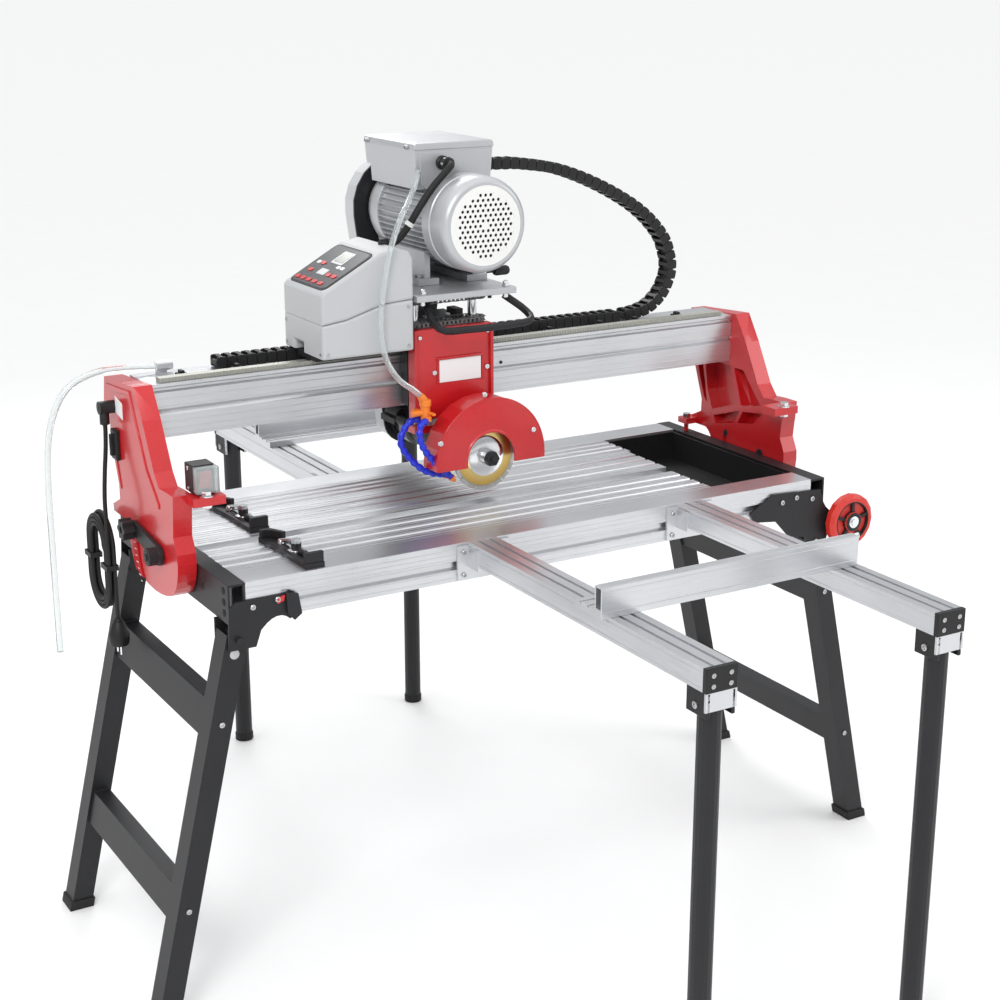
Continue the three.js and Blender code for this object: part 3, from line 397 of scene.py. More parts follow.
# ---------- finishes of the CAD nodes that stay ----------
FINISH_NODES = {
    "aluminium_x": "front_beam rear_beam table_planks bridge_beam front_fence rear_fence",
    "aluminium_y": "front_left_arm front_right_arm rear_left_arm rear_right_arm",
    "black_coat": ("left_end_plate right_end_plate tilt_link_left tilt_link_right left_leg_frame "
        "right_leg_frame front_left_arm_leg front_right_arm_leg rear_left_arm_leg "
        "rear_right_arm_leg angle_stop_front angle_stop_rear carriage_body push_handle "
        "spindle_housing"),
    "black_mould": ("water_tray tilt_knob_left tilt_knob_right chain_run breaker_box cord_gland plug "
        "energy_chain_loop"),
    "wheel_red": "wheel_front wheel_rear",
    "chrome": "front_lever_left front_lever_right rear_lever",
    "red_cast": "gantry_bracket_left gantry_bracket_right head_column blade_guard",
    "red_mould": "breaker_rocker",
    "clear_tube": "breaker_cover hose_tail water_hose",
    "rubber_black": "power_cord cord_hank drive_belt",
    "grey_mould": "control_box_base control_box_top",
    "silver_paint": "motor_plate motor_body fan_cover junction_box",
    "nozzle_blue": "coolant_nozzles",
    "belt_paint": "belt_cover",
    "steel_raw": "motor_rotor arbor",
    "blade_faces": "blade",
}
BEVEL_NODES = {
    2.0: "gantry_bracket_left gantry_bracket_right left_leg_frame right_leg_frame",
    5.0: "control_box_base",
    7.0: "control_box_top",
    1.2: "head_column",
    1.0: ("blade_guard motor_plate water_tray tilt_link_left tilt_link_right front_lever_left "
        "front_lever_right rear_lever"),
    3.0: "junction_box",
    4.0: "belt_cover",
    0.6: "front_fence rear_fence",
    0.5: "table_planks",
    0.7: ("front_left_arm front_right_arm rear_left_arm rear_right_arm front_beam rear_beam "
        "bridge_beam"),
    0.8: "left_end_plate right_end_plate angle_stop_front angle_stop_rear breaker_rocker",
    1.5: "carriage_body breaker_box tilt_knob_left tilt_knob_right",
}
CAD_FINISH = {node: name for name, nodes in FINISH_NODES.items() for node in nodes.split()}
CAD_BEVEL = {node: width for width, nodes in BEVEL_NODES.items() for node in nodes.split()}


def dress_cad():
    for name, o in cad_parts.items():
        o.data.materials.clear()
        o.data.materials.append(MATERIALS[CAD_FINISH[name]])
        weld = o.modifiers.new("weld", "WELD")
        weld.merge_threshold = 0.00001
        soften(o, CAD_BEVEL.get(name, 0), 40)


# ---------- motor ----------
BX, BY, BZ = -25, -55, 868       # blade centre
MOTOR_Z = 1300


def make_motor():
    shell = [lathe("Y", [(60, 20.5), (74, 21), (74, 208), (82, 209), (84, 214), (84, 236), (78, 240),
            (76, 258), (60, 261.5)], BX, MOTOR_Z, 48)]
    for i in range(44):
        t = 2 * pi * (i + 0.5) / 44
        c, s = cos(t), sin(t)
        outline = [(BX + r * c + w * s, MOTOR_Z + r * s - w * c) for r,
                w in ((72, -1.4), (83.5, -0.9), (83.5, 0.9), (72, 1.4))]
        if s < 0.72:
            shell.append(prism("Y", outline, 26, 206))
    for side in (-1, 1):
        x = BX + side * 52
        shell.append(block(x - 22, x + 22, 60, 225, 1177.5, 1190))
        shell.append(block(x - 6, x + 6, 66, 218, 1188, 1240))
    for i in range(4):
        t = pi / 4 + i * pi / 2
        shell.append(rod("Y", 8, 205, 244, BX + 78 * cos(t), MOTOR_Z + 78 * sin(t), 16))
    piece("motor_finned", shell, "silver_paint", "head", 0.4, ["motor_body"])
    shroud = [(72.5, -62.6), (74, -63), (79, -62), (85.5, -56), (88, -46), (88.6, -20), (86.8, -18),
            (86.8, -10),
            (88.8, -8), (88.8, 18), (86, 20), (86, -8), (84, -20), (82, -50), (76, -58), (72.5, -60)]
    piece("fan_shroud", [lathe("Y", shroud, BX, MOTOR_Z, 64, True)], "silver_paint", "head", 0,
            ["fan_cover"])
    piece("fan_grille", [grille(BX, MOTOR_Z, -62.4, -60.6, 66, 73)], "white_mould", "head")
    piece("fan_shadow", [lathe("Y", [(72, -57), (72.4, -56), (72, -55)], BX, MOTOR_Z, 40)], "black_mould",
            "head")
    screws = []
    for i in range(4):
        t = pi / 4 + i * pi / 2
        screws.append(hex_head("Y", 243.5, 248, BX + 78 * cos(t), MOTOR_Z + 78 * sin(t), 5.5))
    for side in (-1, 1):
        for y in (78, 205):
            screws.append(hex_head("Z", 1190, 1196, BX + side * 66, y, 7))
            screws.append(lathe("Z", [(9, 1189.8), (9, 1191.4)], BX + side * 66, y, 20))
    piece("motor_bolts", screws, "steel_raw", "head", 0.3)


def grille(cx, cz, y0, y1, reach, rim):
    """Flat disc pierced by a grid of round holes: each cell is a hexagon with a round hole in it."""
    verts, faces = [], []
    pitch, hole, n = 10.6, 3.1, 12
    rows = int(reach / pitch) + 2
    for a in range(-rows, rows + 1):
        for b in range(-rows, rows + 1):
            u = pitch * (a + b / 2)
            v = pitch * b * sqrt(3) / 2
            away = hypot(u, v)
            if away > reach:
                continue
            open_hole = 6 < away < 57
            for y, turn in ((y0, 1), (y1, -1)):
                base = len(verts)
                for k in range(n):
                    t = 2 * pi * k / n + pi / 6
                    r = pitch / sqrt(3) if k % 2 == 0 else pitch / 2
                    verts.append((cx + u + r * cos(t), y, cz + v + r * sin(t)))
                for k in range(n):
                    t = 2 * pi * k / n + pi / 6
                    verts.append((cx + u + hole * cos(t), y, cz + v + hole * sin(t)))
                for k in range(n):
                    j = (k + 1) % n
                    quad = (base + k, base + j, base + n + j, base + n + k)
                    faces.append(quad if turn > 0 else quad[::-1])
                if not open_hole:
                    cap = tuple(base + n + k for k in range(n))
                    faces.append(cap if turn > 0 else cap[::-1])
            if open_hole:
                front = len(verts) - 3 * n
                back = len(verts) - n
                for k in range(n):
                    j = (k + 1) % n
                    faces.append((front + k, front + j, back + j, back + k))
    v, f = lathe("Y", [(reach - 5, y0 - 0.25), (rim, y0 - 0.25), (rim, y1 + 0.25), (reach - 5, y1 + 0.25)],
            cx, cz, 48, True)
    base = len(verts)
    return verts + v, faces + [tuple(base + i for i in face) for face in f]


def make_junction_box():
    lid = [(BX - 85, 1428), (BX + 85, 1428), (BX + 83, 1438), (BX + 79, 1440.8), (BX - 79, 1440.8),
            (BX - 83, 1438)]
    piece("junction_lid", [prism("Y", lid, 53, 257)], "silver_paint", "head", 1.5)
    face = [(BX - 68, 1365), (BX - 74, 1424), (BX + 74, 1424), (BX + 68, 1365), (BX + 62, 1359),
            (BX - 62, 1359)]
    piece("junction_face", [prism("Y", face, 53.4, 56)], "silver_paint", "head", 0.8)
    screws = [socket_screw("X", BX + s * 85, s, y, 1433, 4, 7) for s in (-1, 1) for y in (75, 235)]
    piece("junction_screws", screws, "steel_raw", "head")
    gland = [lathe("Y", [(13, 54), (13, 48), (10.5, 46), (10.5, 36), (12, 35), (12, 26), (8, 24)], BX - 26,
            1404, 20)]
    piece("motor_gland", gland, "black_mould", "head")
    piece("gland_nut", [lathe("Y", [(11.2, 35.5), (13, 34.5), (13, 29), (11.2, 28)], BX - 26, 1404, 6)],
            "chrome", "head")


CONDUIT = [(BX - 26, 26, 1404), (BX - 30, 12, 1404), (-66, 2, 1398), (-98, 4, 1366), (-124, 8, 1330),
        (-142, 14, 1300), (-160, 24, 1274), (-178, 34, 1262), (-188, 40, 1250)]


def make_conduit():
    path = smooth_path(CONDUIT, 90)
    radii = [6.2 + 0.7 * (i % 2) for i in range(90)]
    o = piece("conduit", [sweep(path, 6.5, 14, radii)], "rubber_black", None)
    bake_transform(o)
    a, b = path[58], path[61]
    tie = piece("conduit_tie", [sweep([a, b], 8.6, 16)], "white_mould", None)
    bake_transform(tie)


# ---------- energy chain ----------
def chain_link(p, along):
    """One link: two side plates with a waist, and two cross bars."""
    t = Vector((along.x, 0, along.z)).normalized()
    n = Vector((-t.z, 0, t.x))
    half = LINK_LENGTH / 2
    y0, y1 = CHAIN_Y0, CHAIN_Y1

    def at(u, v):
        q = p + t * u + n * v
        return (q.x, q.z)

    plate = [at(-half, -8), at(-half + 2, -10.5), at(half - 2, -10.5), at(half, -8), at(half, 8),
            at(half - 2, 10.5), at(-half + 2, 10.5), at(-half, 8)]
    bar = [at(-3.4, 7.4), at(3.4, 7.4), at(3.4, 11), at(-3.4, 11)]
    under = [at(-3.4, -11), at(3.4, -11), at(3.4, -7.4), at(-3.4, -7.4)]
    core = [at(-half - 1, -5), at(half + 1, -5), at(half + 1, 5), at(-half - 1, 5)]
    return [prism("Y", plate, y0, y0 + 4), prism("Y", plate, y1 - 4, y1),
            prism("Y", bar, y0 + 0.5, y1 - 0.5),
            prism("Y", under, y0 + 0.5, y1 - 0.5), prism("Y", core, y0 + 2.5, y1 - 2.5)]


CHAIN_PITCH = 19.5
LINK_LENGTH = 18
CHAIN_Y0, CHAIN_Y1 = 110, 144    # the two sides of the chain
CHAIN_UPPER = [(72, 127, 1388), (120, 127, 1387), (160, 127, 1384), (248, 127, 1368), (350, 127, 1328),
        (440, 127, 1276), (497, 127, 1220), (518, 127, 1170)]
CHAIN_LOWER = [(518, 127, 1170), (517, 127, 1140), (500, 127, 1104), (468, 127, 1077), (430, 127, 1066.5),
        (404, 127, 1065)]


def make_energy_chain():
    for name, points, a, b in (("chain_loop_upper", CHAIN_UPPER, "head", "carriage"),
            ("chain_loop_lower", CHAIN_LOWER, "carriage", "gantry")):
        length = sum((Vector(q) - Vector(p)).length for p, q in zip(points, points[1:]))
        count = round(length / CHAIN_PITCH)
        path = smooth_path(points, 2 * count + 1)
        links = []
        for i in range(count):
            p = path[2 * i + 1]
            links += chain_link(p, path[2 * i + 2] - path[2 * i])
        replaced = ["energy_chain_loop"] if a == "head" else []
        o = piece(name, links, "black_mould", None, 0, replaced)
        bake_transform(o)
    clamp = [block(58, 84, 108, 146, 1374, 1401), block(60, 66, 100, 154, 1370, 1379)]
    piece("chain_clamp", clamp, "belt_paint", "head", 1.5)
    run = []
    for i in range(45):
        x = -485 + CHAIN_PITCH * (i + 0.5)
        run += chain_link(Vector((x, 127, 1064.6)), Vector((1, 0, 0)))
    piece("chain_run_links", run, "black_mould", "gantry", 0, ["chain_run"])


# ---------- bridge beam ----------
def make_bridge_details():
    teeth = []
    for i in range(204):
        x = -612 + 6 * i
        teeth.append(block(x, x + 3.4, 60.4, 63, 1053.5, 1061.4))
    piece("rack_teeth", teeth, "rack_grey", "gantry")
    bars = [block(-612.3, 612.3, 61.4, 80.4, 1053.2, 1061.2)]
    piece("rack_bar", bars, "rack_grey", "gantry", 0.4)
    ribs = []
    for z, h in ((1044.5, 1.6), (1026, 1.2), (1012, 1.2), (984, 1.2), (972, 1.2), (961, 1.4)):
        ribs.append(block(-633.4, 633.4, 53.9, 55.6, z - h / 2, z + h / 2))
        ribs.append(block(-633.4, 633.4, 154.4, 156.1, z - h / 2, z + h / 2))
    piece("beam_ribs", ribs, "aluminium_x", "gantry", 0.25)
    clips = []
    for x in (-560, -455, 210, 330, 415, 520):
        clips.append(block(x - 9, x + 9, 84, 102, 1053.2, 1060))
        clips.append(block(x - 4, x + 4, 86, 100, 1059, 1065))
    piece("beam_clips", clips, "black_mould", "gantry", 1)
    notch = [lathe("Y", [(3.2, 54.8), (3.2, 53.6), (2.2, 53.4)], x, 1015, 12) for x in (-150, 76)]
    piece("beam_studs", notch, "black_mould", "gantry")


# ---------- control box ----------
def panel_point(u, y, h):
    return (-334 + 0.875 * u - 0.484 * h, y, 1198.5 + 0.484 * u + 0.875 * h)


def panel_plate(u0, u1, y0, y1, h0, h1, corner=3.0):
    outline = []
    for cu, cy, start in ((u1 - corner, y1 - corner, 0), (u0 + corner, y1 - corner, 90),
            (u0 + corner, y0 + corner, 180), (u1 - corner, y0 + corner, 270)):
        for k in range(5):
            t = radians(start + 22.5 * k)
            outline.append((cu + corner * cos(t), cy + corner * sin(t)))
    n = len(outline)
    verts = [panel_point(u, y, h) for h in (h0, h1) for u, y in outline]
    faces = [tuple(reversed(range(n))), tuple(range(n, 2 * n))]
    faces += [(i, (i + 1) % n, n + (i + 1) % n, n + i) for i in range(n)]
    return verts, faces


def make_control_box():
    piece("key_panel_rim", [panel_plate(4, 122, -17, 131, -3, 1.2, 14)], "black_mould", "carriage", 0.5)
    piece("key_panel", [panel_plate(8, 118, -12, 126, 0, 1.7, 11)], "panel_dark", "carriage", 0.3)
    frame_bar = [panel_plate(72, 108, 30, 74, 1.4, 2.6, 3)]
    piece("display_frame", frame_bar, "belt_paint", "carriage", 0.4)
    piece("display_glass", [panel_plate(77, 104, 35, 69, 2.2, 3.0, 2)], "display", "carriage", 0.2)
    piece("small_window", [panel_plate(38, 54, 44, 74, 1.4, 2.4, 2)], "belt_paint", "carriage", 0.2)
    keys = [(14, 114), (14, 92), (14, 69), (14, 45), (14, 20), (38, 8), (38, 30), (38, 104), (62, 92)]
    piece("keys_red", [panel_plate(u, u + 9, y - 8, y + 8, 1.4, 3, 3) for u, y in keys], "red_mould",
            "carriage", 0.4)
    keys = [(62, 110), (62, 14), (62, 30)]
    piece("keys_white", [panel_plate(u, u + 8, y - 6, y + 6, 1.4, 2.6, 2.5) for u, y in keys], "label_white",
            "carriage", 0.3)
    screws = [socket_screw("X", -338, -1, y, z, 3.2, 1.6) for y,
            z in ((-16, 1088), (130, 1088), (130, 1128))]
    screws += [socket_screw("Y", -26, -1, x, z, 3.2, 1.6) for x,
            z in ((-328, 1088), (-166, 1088), (-166, 1160))]
    piece("box_screws", screws, "steel_raw", "carriage")
    gland = [lathe("Z", [(11, 1262), (11, 1270), (9, 1272), (9, 1276), (7, 1277)], -182, 36, 18)]
    piece("box_gland", gland, "black_mould", "carriage")
    side = [lathe("X", [(8, -155.5), (8, -152), (6.5, -151)], 0, 1118, 16)]
    piece("side_plug", side, "black_mould", "carriage")


# ---------- lift drive under the motor ----------
ROD_X = (-123, 1)
ROD_Y = 35.5


def sprocket(x, y, z, r, teeth):
    outline = []
    for i in range(teeth * 4):
        t = 2 * pi * i / (teeth * 4)
        outline.append((x + (r if i % 4 in (0, 1) else r - 3.2) * cos(t),
                y + (r if i % 4 in (0, 1) else r - 3.2) * sin(t)))
    return prism("Z", outline, z - 1.5, z + 1.5)


def chain_belt(z, r):
    """Roller chain round both lift rods."""
    span = ROD_X[1] - ROD_X[0]
    total = 2 * span + 2 * pi * r
    count = 2 * round(total / 9 / 2)
    shapes = []
    for i in range(count):
        s = total * i / count
        if s < span:
            x, y, t = ROD_X[0] + s, ROD_Y - r, 0.0
        elif s < span + pi * r:
            a = (s - span) / r
            x, y, t = ROD_X[1] + r * sin(a), ROD_Y - r * cos(a), a
        elif s < 2 * span + pi * r:
            x, y, t = ROD_X[1] - (s - span - pi * r), ROD_Y + r, pi
        else:
            a = (s - 2 * span - pi * r) / r
            x, y, t = ROD_X[0] - r * sin(a), ROD_Y + r * cos(a), pi + a
        shapes.append(rod("Z", 2.6, z - 4, z + 4, x, y, 10))
        c, q = cos(t), sin(t)
        for z0 in (z - 4.2, z + 3.0):
            outline = [(x + u * c - v * q, y + u * q + v * c) for u,
                    v in ((-1, -3.4), (10, -3.4), (10, 3.4), (-1, 3.4))]
            shapes.append(prism("Z", outline, z0 + 0.6 * (i % 2), z0 + 0.9 + 0.6 * (i % 2)))
    return shapes


def make_lift_drive():
    for body, z, name in (("head", 1156, "upper"), ("carriage", 1113, "lower")):
        wheels = []
        for x in ROD_X:
            wheels.append(sprocket(x, ROD_Y, z, 21, 14))
            wheels.append(rod("Z", 12, z - 5, z + 5, x, ROD_Y))
        piece(name + "_sprockets", wheels, "dull_grey", body, 0.2)
        piece(name + "_chain", chain_belt(z, 21), "dull_grey", body)
    sleeves = [rod("Z", 8.3, 1000, 1150, x, ROD_Y) for x in ROD_X]
    piece("screw_sleeves", sleeves, "chrome", "head")
    studs = []
    for x in (-85, -37):
        studs.append(rod("Z", 5, 1104.2, 1121, x, 62))
        studs.append(hex_head("Z", 1104.3, 1111, x, 62, 9))
    piece("carriage_studs", studs, "chrome", "carriage", 0.3)
    hangers = []
    for x in (-85, -37):
        hangers.append(rod("Z", 5, 1150, 1165, x, 62))
        hangers.append(hex_head("Z", 1156, 1164, x, 62, 9))
    hangers.append(rod("Z", 7, 1150, 1164, -62, 92))
    piece("head_studs", hangers, "chrome", "head", 0.3)
    lower = [block(-140, -118, 80, 128, 1104.2, 1120), block(-2, 16, 96, 130, 1104.2, 1120)]
    piece("carriage_blocks", lower, "black_coat", "carriage", 1.2)
    upper = [block(-140, -118, 80, 128, 1148, 1164), block(-2, 16, 96, 130, 1148, 1164)]
    piece("head_blocks", upper, "black_coat", "head", 1.2)
    crank = [rod("Z", 4, 1152, 1166, 26, 12), rod("X", 3, 8, 30, -8, 1206)]
    crank.append(lathe("X", [(7.5, 24), (9, 27), (9, 50), (7, 54)], -8, 1206, 18))
    piece("lock_knob", crank, "black_mould", "head")
    nuts = []
    for x in (-132, 44):
        nuts.append(rod("Z", 5, 1156, 1188, x, -16))
        for y in (-16, 246):
            nuts.append(hex_head("Z", 1177, 1183, x, y, 7.5))
    piece("plate_nuts", nuts, "chrome", "head", 0.3)


# ---------- head ----------
def make_column():
    label = [block(-91, -2, -3.6, -2.2, 1005, 1048)]
    piece("column_label", label, "label_white", "head", 0.8)
    lip = [block(-96, 3, -6, -2.2, 1048.5, 1053), block(-96, -92.5, -4.5, -2.2, 1003, 1050),
            block(-0.5, 3, -4.5, -2.2, 1003, 1050)]
    lip += [block(-145.4, -139, -8, 18.4, 938, 1108.4), block(17, 23.4, -8, 18.4, 938, 1108.4)]
    piece("column_lips", lip, "red_cast", "head", 1.2)
    screws = [socket_screw("Y", -2.2, -1, x, 1026, 5, 5) for x in (-103, 10)]
    screws += [socket_screw("Y", -2.2, -1, x, z, 4, 3.5) for x, z in ((-132, 1094), (12, 1094))]
    for x, z in ((-41, 993), (-134, 912), (65, 913)):
        screws.append(socket_screw("Y", -82, -1, x, z, 5, 4.5))
    piece("head_screws", screws, "chrome", "head")
    rim = []
    for k in range(33):
        t = pi * k / 32
        rim.append(Vector((BX + 115.4 * cos(t), -81, BZ + 115.4 * sin(t))))
    band = [Vector((BX + 115.4, -81, 857))] + rim + [Vector((BX - 115.4, -81, 857))]
    piece("guard_rim", [sweep(band, 1.6, 10)], "red_cast", "head")
    verts, faces = lathe("Y", [(51, -83), (54, -83.6), (56, -82), (54, -80), (51, -80)], BX, BZ, 48, True)
    upper = [face for face in faces if all(verts[i][2] > 858 for i in face)]
    piece("arch_rim", [(verts, upper)], "red_cast", "head")
    housing = [lathe("Y", [(31, 24), (36, 26), (36, 40), (31, 42)], BX, BZ, 32),
            lathe("Y", [(31, 196), (37, 198), (37, 222), (31, 224)], BX, BZ, 32)]
    piece("housing_collars", housing, "dull_grey", "head", 0.6)
    roller = [rod("Y", 12, 100, 150, -118, 925), block(-136, -100, 96, 154, 908, 920)]
    roller += [block(-112, -100, 90, 100, 900, 937), rod("Y", 9, 60, 96, -126, 918)]
    piece("guide_roller", roller, "black_mould", "head", 1)


def make_blade():
    rim = []
    count = 20
    for i in range(count):
        a0 = 2 * pi * i / count + 0.02
        a1 = 2 * pi * (i + 1) / count - 0.02
        ring = [(BX + r * cos(t), BZ + r * sin(t)) for r, steps in ((59, (0, 1, 2, 3)), (66, (3, 2, 1, 0)))
                for t in [a0 + (a1 - a0) * s / 3 for s in steps]]
        rim.append(prism("Y", ring, BY - 1.5, BY + 1.5))
    core = lathe("Y", [(14, BY - 1.05), (60, BY - 1.05), (60, BY + 1.05), (14, BY + 1.05)], BX, BZ, 72, True)
    piece("blade_detailed", [core] + rim, "blade_faces", "spindle", 0, ["blade"])
    flange = [lathe("Y", [(8, BY - 8.5), (30, BY - 8.5), (38, BY - 5.5), (39, BY - 1.6), (8, BY - 1.6)], BX,
            BZ, 56, True)]
    piece("blade_flange", flange, "chrome", "spindle", 0.2)
    nut = [hex_head("Y", BY - 33, BY - 17, BX, BZ, 14.5), lathe("Y",
            [(9.6, BY - 18), (13, BY - 17), (13, BY - 9), (17, BY - 8)], BX, BZ, 28),
            lathe("Y", [(5.5, BY - 33), (5.5, BY - 36), (4.5, BY - 36.6)], BX, BZ, 20)]
    piece("blade_nut", nut, "black_coat", "spindle", 0.5)


def segmented(points, count, r):
    path = smooth_path(points, count * 5 + 1)
    profile = (0.78, 1.0, 1.08, 1.0, 0.8)
    radii = [r * profile[i % 5] for i in range(count * 5 + 1)]
    return sweep(path, r, 16, radii)


def make_coolant():
    upper = [(-146, -54, 950), (-160, -58, 946), (-166, -62, 925), (-158, -64, 900), (-138, -64, 874),
            (-116, -62, 852), (-100, -60, 838)]
    lower = [(-148, -34, 950), (-168, -30, 946), (-184, -28, 926), (-186, -28, 902), (-166, -30, 872),
            (-138, -34, 848), (-100, -34, 836)]
    piece("nozzle_joints", [segmented(upper, 11, 6.4), segmented(lower, 12, 6.4)], "nozzle_blue", "head", 0,
            ["coolant_nozzles"])
    tips = [lathe_between(upper[-1], (-91, -59, 829), 6.6, 3.4),
            lathe_between(lower[-1], (-84, -34, 829), 6.4, 3.2)]
    valve = [rod("Z", 9, 950, 978, -144, -44), rod("Z", 11, 976, 988, -144, -44),
            rod("X", 6, -172, -138, -44, 964), block(-150, -138, -57, -31, 948, 958)]
    valve += [lathe_between((-144, -44, 984), (-156, -46, 998), 7.5, 6.5)]
    valve += [block(-150, -140, -32, -2.3, 955, 963)]
    piece("coolant_valve", tips + valve, "orange_mould", "head", 0.6)
    tap = [block(-142, -136, -70, -57, 962, 966), rod("Y", 3, -60, -50, -140, 964)]
    piece("valve_tap", tap, "orange_mould", "head", 0.8)
    turns = [(-156, -46, 998), (-170, -48, 1010), (-196, -46, 1030), (-216, -41, 1060), (-226, -38, 1096)]
    turns += [(-229, -38, 1140), (-223, -38, 1195), (-212, -38, 1250), (-199, -38, 1290), (-178, -28, 1326)]
    turns += [(-156, -4, 1338), (-132, 22, 1354), (-112, 40, 1376), (-104, 50, 1392)]
    path = smooth_path(turns, 90)
    piece("water_feed", [sweep(path, 5.2, 16)], "clear_tube", "head", 0, ["water_hose"])


def lathe_between(a, b, ra, rb):
    a, b = Vector(a), Vector(b)
    return sweep([a, a.lerp(b, 0.3), a.lerp(b, 0.6), b], ra, 16, [ra, ra, rb * 1.2, rb])


# ---------- belt cover ----------
def make_belt_cover():
    rings = [lathe("Y", [(60, 313.6), (64, 314.6), (70, 314.6), (74, 313.6)], BX, MOTOR_Z, 48),
            lathe("Y", [(16, 313.6), (18, 316), (24, 316), (26, 313.6)], BX, MOTOR_Z, 32),
            lathe("Y", [(20, 313.6), (23, 315), (28, 315), (31, 313.6)], BX, BZ, 32)]
    piece("belt_cover_rings", rings, "belt_paint", "head", 0.4)
    screws = [socket_screw("Y", 314, 1, BX + r * cos(t), z + r * sin(t), 4.5, 4)
            for r, z, angles in ((79, MOTOR_Z, (30, 90, 150)), (36, BZ, (200, 270, 340)))
            for t in [radians(a) for a in angles]]
    piece("belt_cover_screws", screws, "steel_raw", "head")


# ---------- gantry brackets ----------
def make_brackets():
    out = -668
    label = [(140, 1044), (104, 1036), (104, 1006), (140, 1014)]
    piece("bracket_label", [prism("X", [(v[0], v[1] - 22) for v in label], out - 1, out)], "label_white",
            "gantry", 0.5)
    bolts, washers = [], []
    for side in (-1, 1):
        face = side * 634
        for y, z in ((78, 975), (132, 975), (78, 1034), (132, 1034)):
            bolts.append(hex_head("X", side * 668, side * 674, y, z, 7 if side > 0 else 0.1))
        bolts.append(hex_head("Z", 902, 911, face - side * 18, -148, 9))
        washers.append(lathe("Z", [(12, 901.8), (12, 903.6)], face - side * 18, -148, 24))
        bolts.append(hex_head("Z", 811, 819, face - side * 18, 176, 9))
        bolts.append(hex_head("Z", 882, 888, face - side * 18, -148, 9))
    piece("bracket_bolts", bolts + washers, "chrome", "gantry", 0.4)
    ribs = []
    shape = [(185, 1036), (60, 1046), (40, 1004), (-6, 922), (-60, 870), (-58, 862), (2, 916), (54, 1000),
            (70, 1036), (182, 1026)]
    ribs.append(prism("X", shape, out - 2.4, out + 1))
    shape = [(168, 930), (138, 850), (132, 852), (158, 934)]
    ribs.append(prism("X", shape, out - 2, out + 1))
    piece("bracket_ribs", ribs, "red_cast", "gantry", 1.4)
    marks = []
    for k in range(10):
        t = radians(9 - 5 * k)
        y, z = BY + 136 * cos(t), 780 + 136 * sin(t)
        w = 5 if k % 2 == 0 else 3
        marks.append(block(out - 0.5, out + 0.2, y - w, y + w, z - 0.7, z + 0.7))
    piece("tilt_scale", marks, "label_white", "gantry")
    clip = [block(-676, out, 128, 156, 905, 960), block(-682, -670, 140, 148, 912, 952)]
    piece("cord_clip", clip, "black_mould", "gantry", 1.5)
    knobs = []
    for side in (-1, 1):
        x = side * 669
        knobs.append(lathe("X", [(15, x + side * 8), (15, x + side * 24), (12, x + side * 27),
                (7, x + side * 27)], BY, 780, 28))
        knobs.append(lathe("X", [(6.5, x + side * 26), (6.5, x + side * 29)], BY, 780, 6))
    piece("pivot_knobs", knobs, "black_mould", "table", 0.6)


# ---------- switch box ----------
def make_switch():
    face = [block(-631, -625, -134.2, -131, 905, 950), block(-602, -596, -134.2, -131, 905, 950)]
    face += [block(-625, -602, -134.2, -131, 905, 912), block(-625, -602, -134.2, -131, 944, 950)]
    piece("switch_face", face, "black_coat", "gantry", 0.8)
    keys = [block(-622, -605, -141, -135, 915, 927), block(-622, -605, -139.6, -135, 929, 941)]
    piece("rocker_keys", keys, "red_mould", "breaker_rocker", 1.2)
    screws = [socket_screw("X", -634, -1, -114, z, 3.5, 2) for z in (910, 945)]
    piece("switch_screws", screws, "chrome", "gantry")


# ---------- table ----------
def make_table_details():
    ribs = []
    for s in (-1, 1):
        for z in (717, 728.5, 751.5, 760, 769):
            y = s * 260
            ribs.append(block(-599.6, 599.6, min(y, y + s * 0.9), max(y, y + s * 0.9), z - 0.9, z + 0.9))
    piece("side_ribs", ribs, "aluminium_x", "table", 0.25)
    lines = []
    for y0, y1, x1 in ((-199, -71, 399), (-39, 97, 407), (100, 199, 415)):
        n = 12
        for i in range(1, n):
            y = y0 + (y1 - y0) * i / n
            if i % 3:
                lines.append(block(-599.5, x1, y - 1.1, y + 1.1, 779.6, 780.7))
    piece("plank_ribs", lines, "aluminium_x", "table", 0.25)
    # each hole is drawn as a near-black disc on the plate, painted shade in place of the hole's depth
    holes = []
    for s in (-1, 1):
        for y, z in ((-243, 766), (-243, 746), (-243, 727), (243, 766), (243, 746), (243, 727)):
            x = s * 632
            holes.append(lathe("X", [(6.5, x), (6.5, x + s * 0.6), (4.5, x + s * 0.8)], y, z, 20))
    piece("end_plate_holes", holes, "hole_painted_shade", "table")
    screws = []
    for s in (-1, 1):
        for y in (-150, -90, 90, 150):
            screws.append(socket_screw("X", s * 628, s, y, 745, 5, 4))
    for y in (-264.3, 264.3):
        s = -1 if y < 0 else 1
        for x, z in ((-590, 736), (-545, 742), (525, 745), (560, 750), (600, 742), (615, 652)):
            screws.append(socket_screw("Y", y + (0.7 * s if x > 0 else 0), s, x, z, 5, 3.5))
    piece("table_screws", screws, "steel_raw", "table")
    latch = []
    for s in (-1, 1):
        y0, y1 = (s * 264, s * 272) if s > 0 else (s * 272, s * 264)
        latch.append(prism("Y", [(-532, 752), (-510, 748), (-504, 712), (-518, 702), (-530, 716)], y0, y1))
        latch.append(rod("Y", 6, y0, y1 + 0.01, -617, 683))
    piece("leg_latches", latch, "black_coat", "table", 1.2)
    piece("latch_keys", [prism("Y", [(-548, 744), (-532, 748), (-534, 738), (-546, 734)],
            *(sorted((s * 264.2, s * 267)))) for s in (-1, 1)], "red_mould", "table", 0.5)


# ---------- legs, wheels, arms ----------
def leg_x(z):
    return 775 - 164 / 710 * z


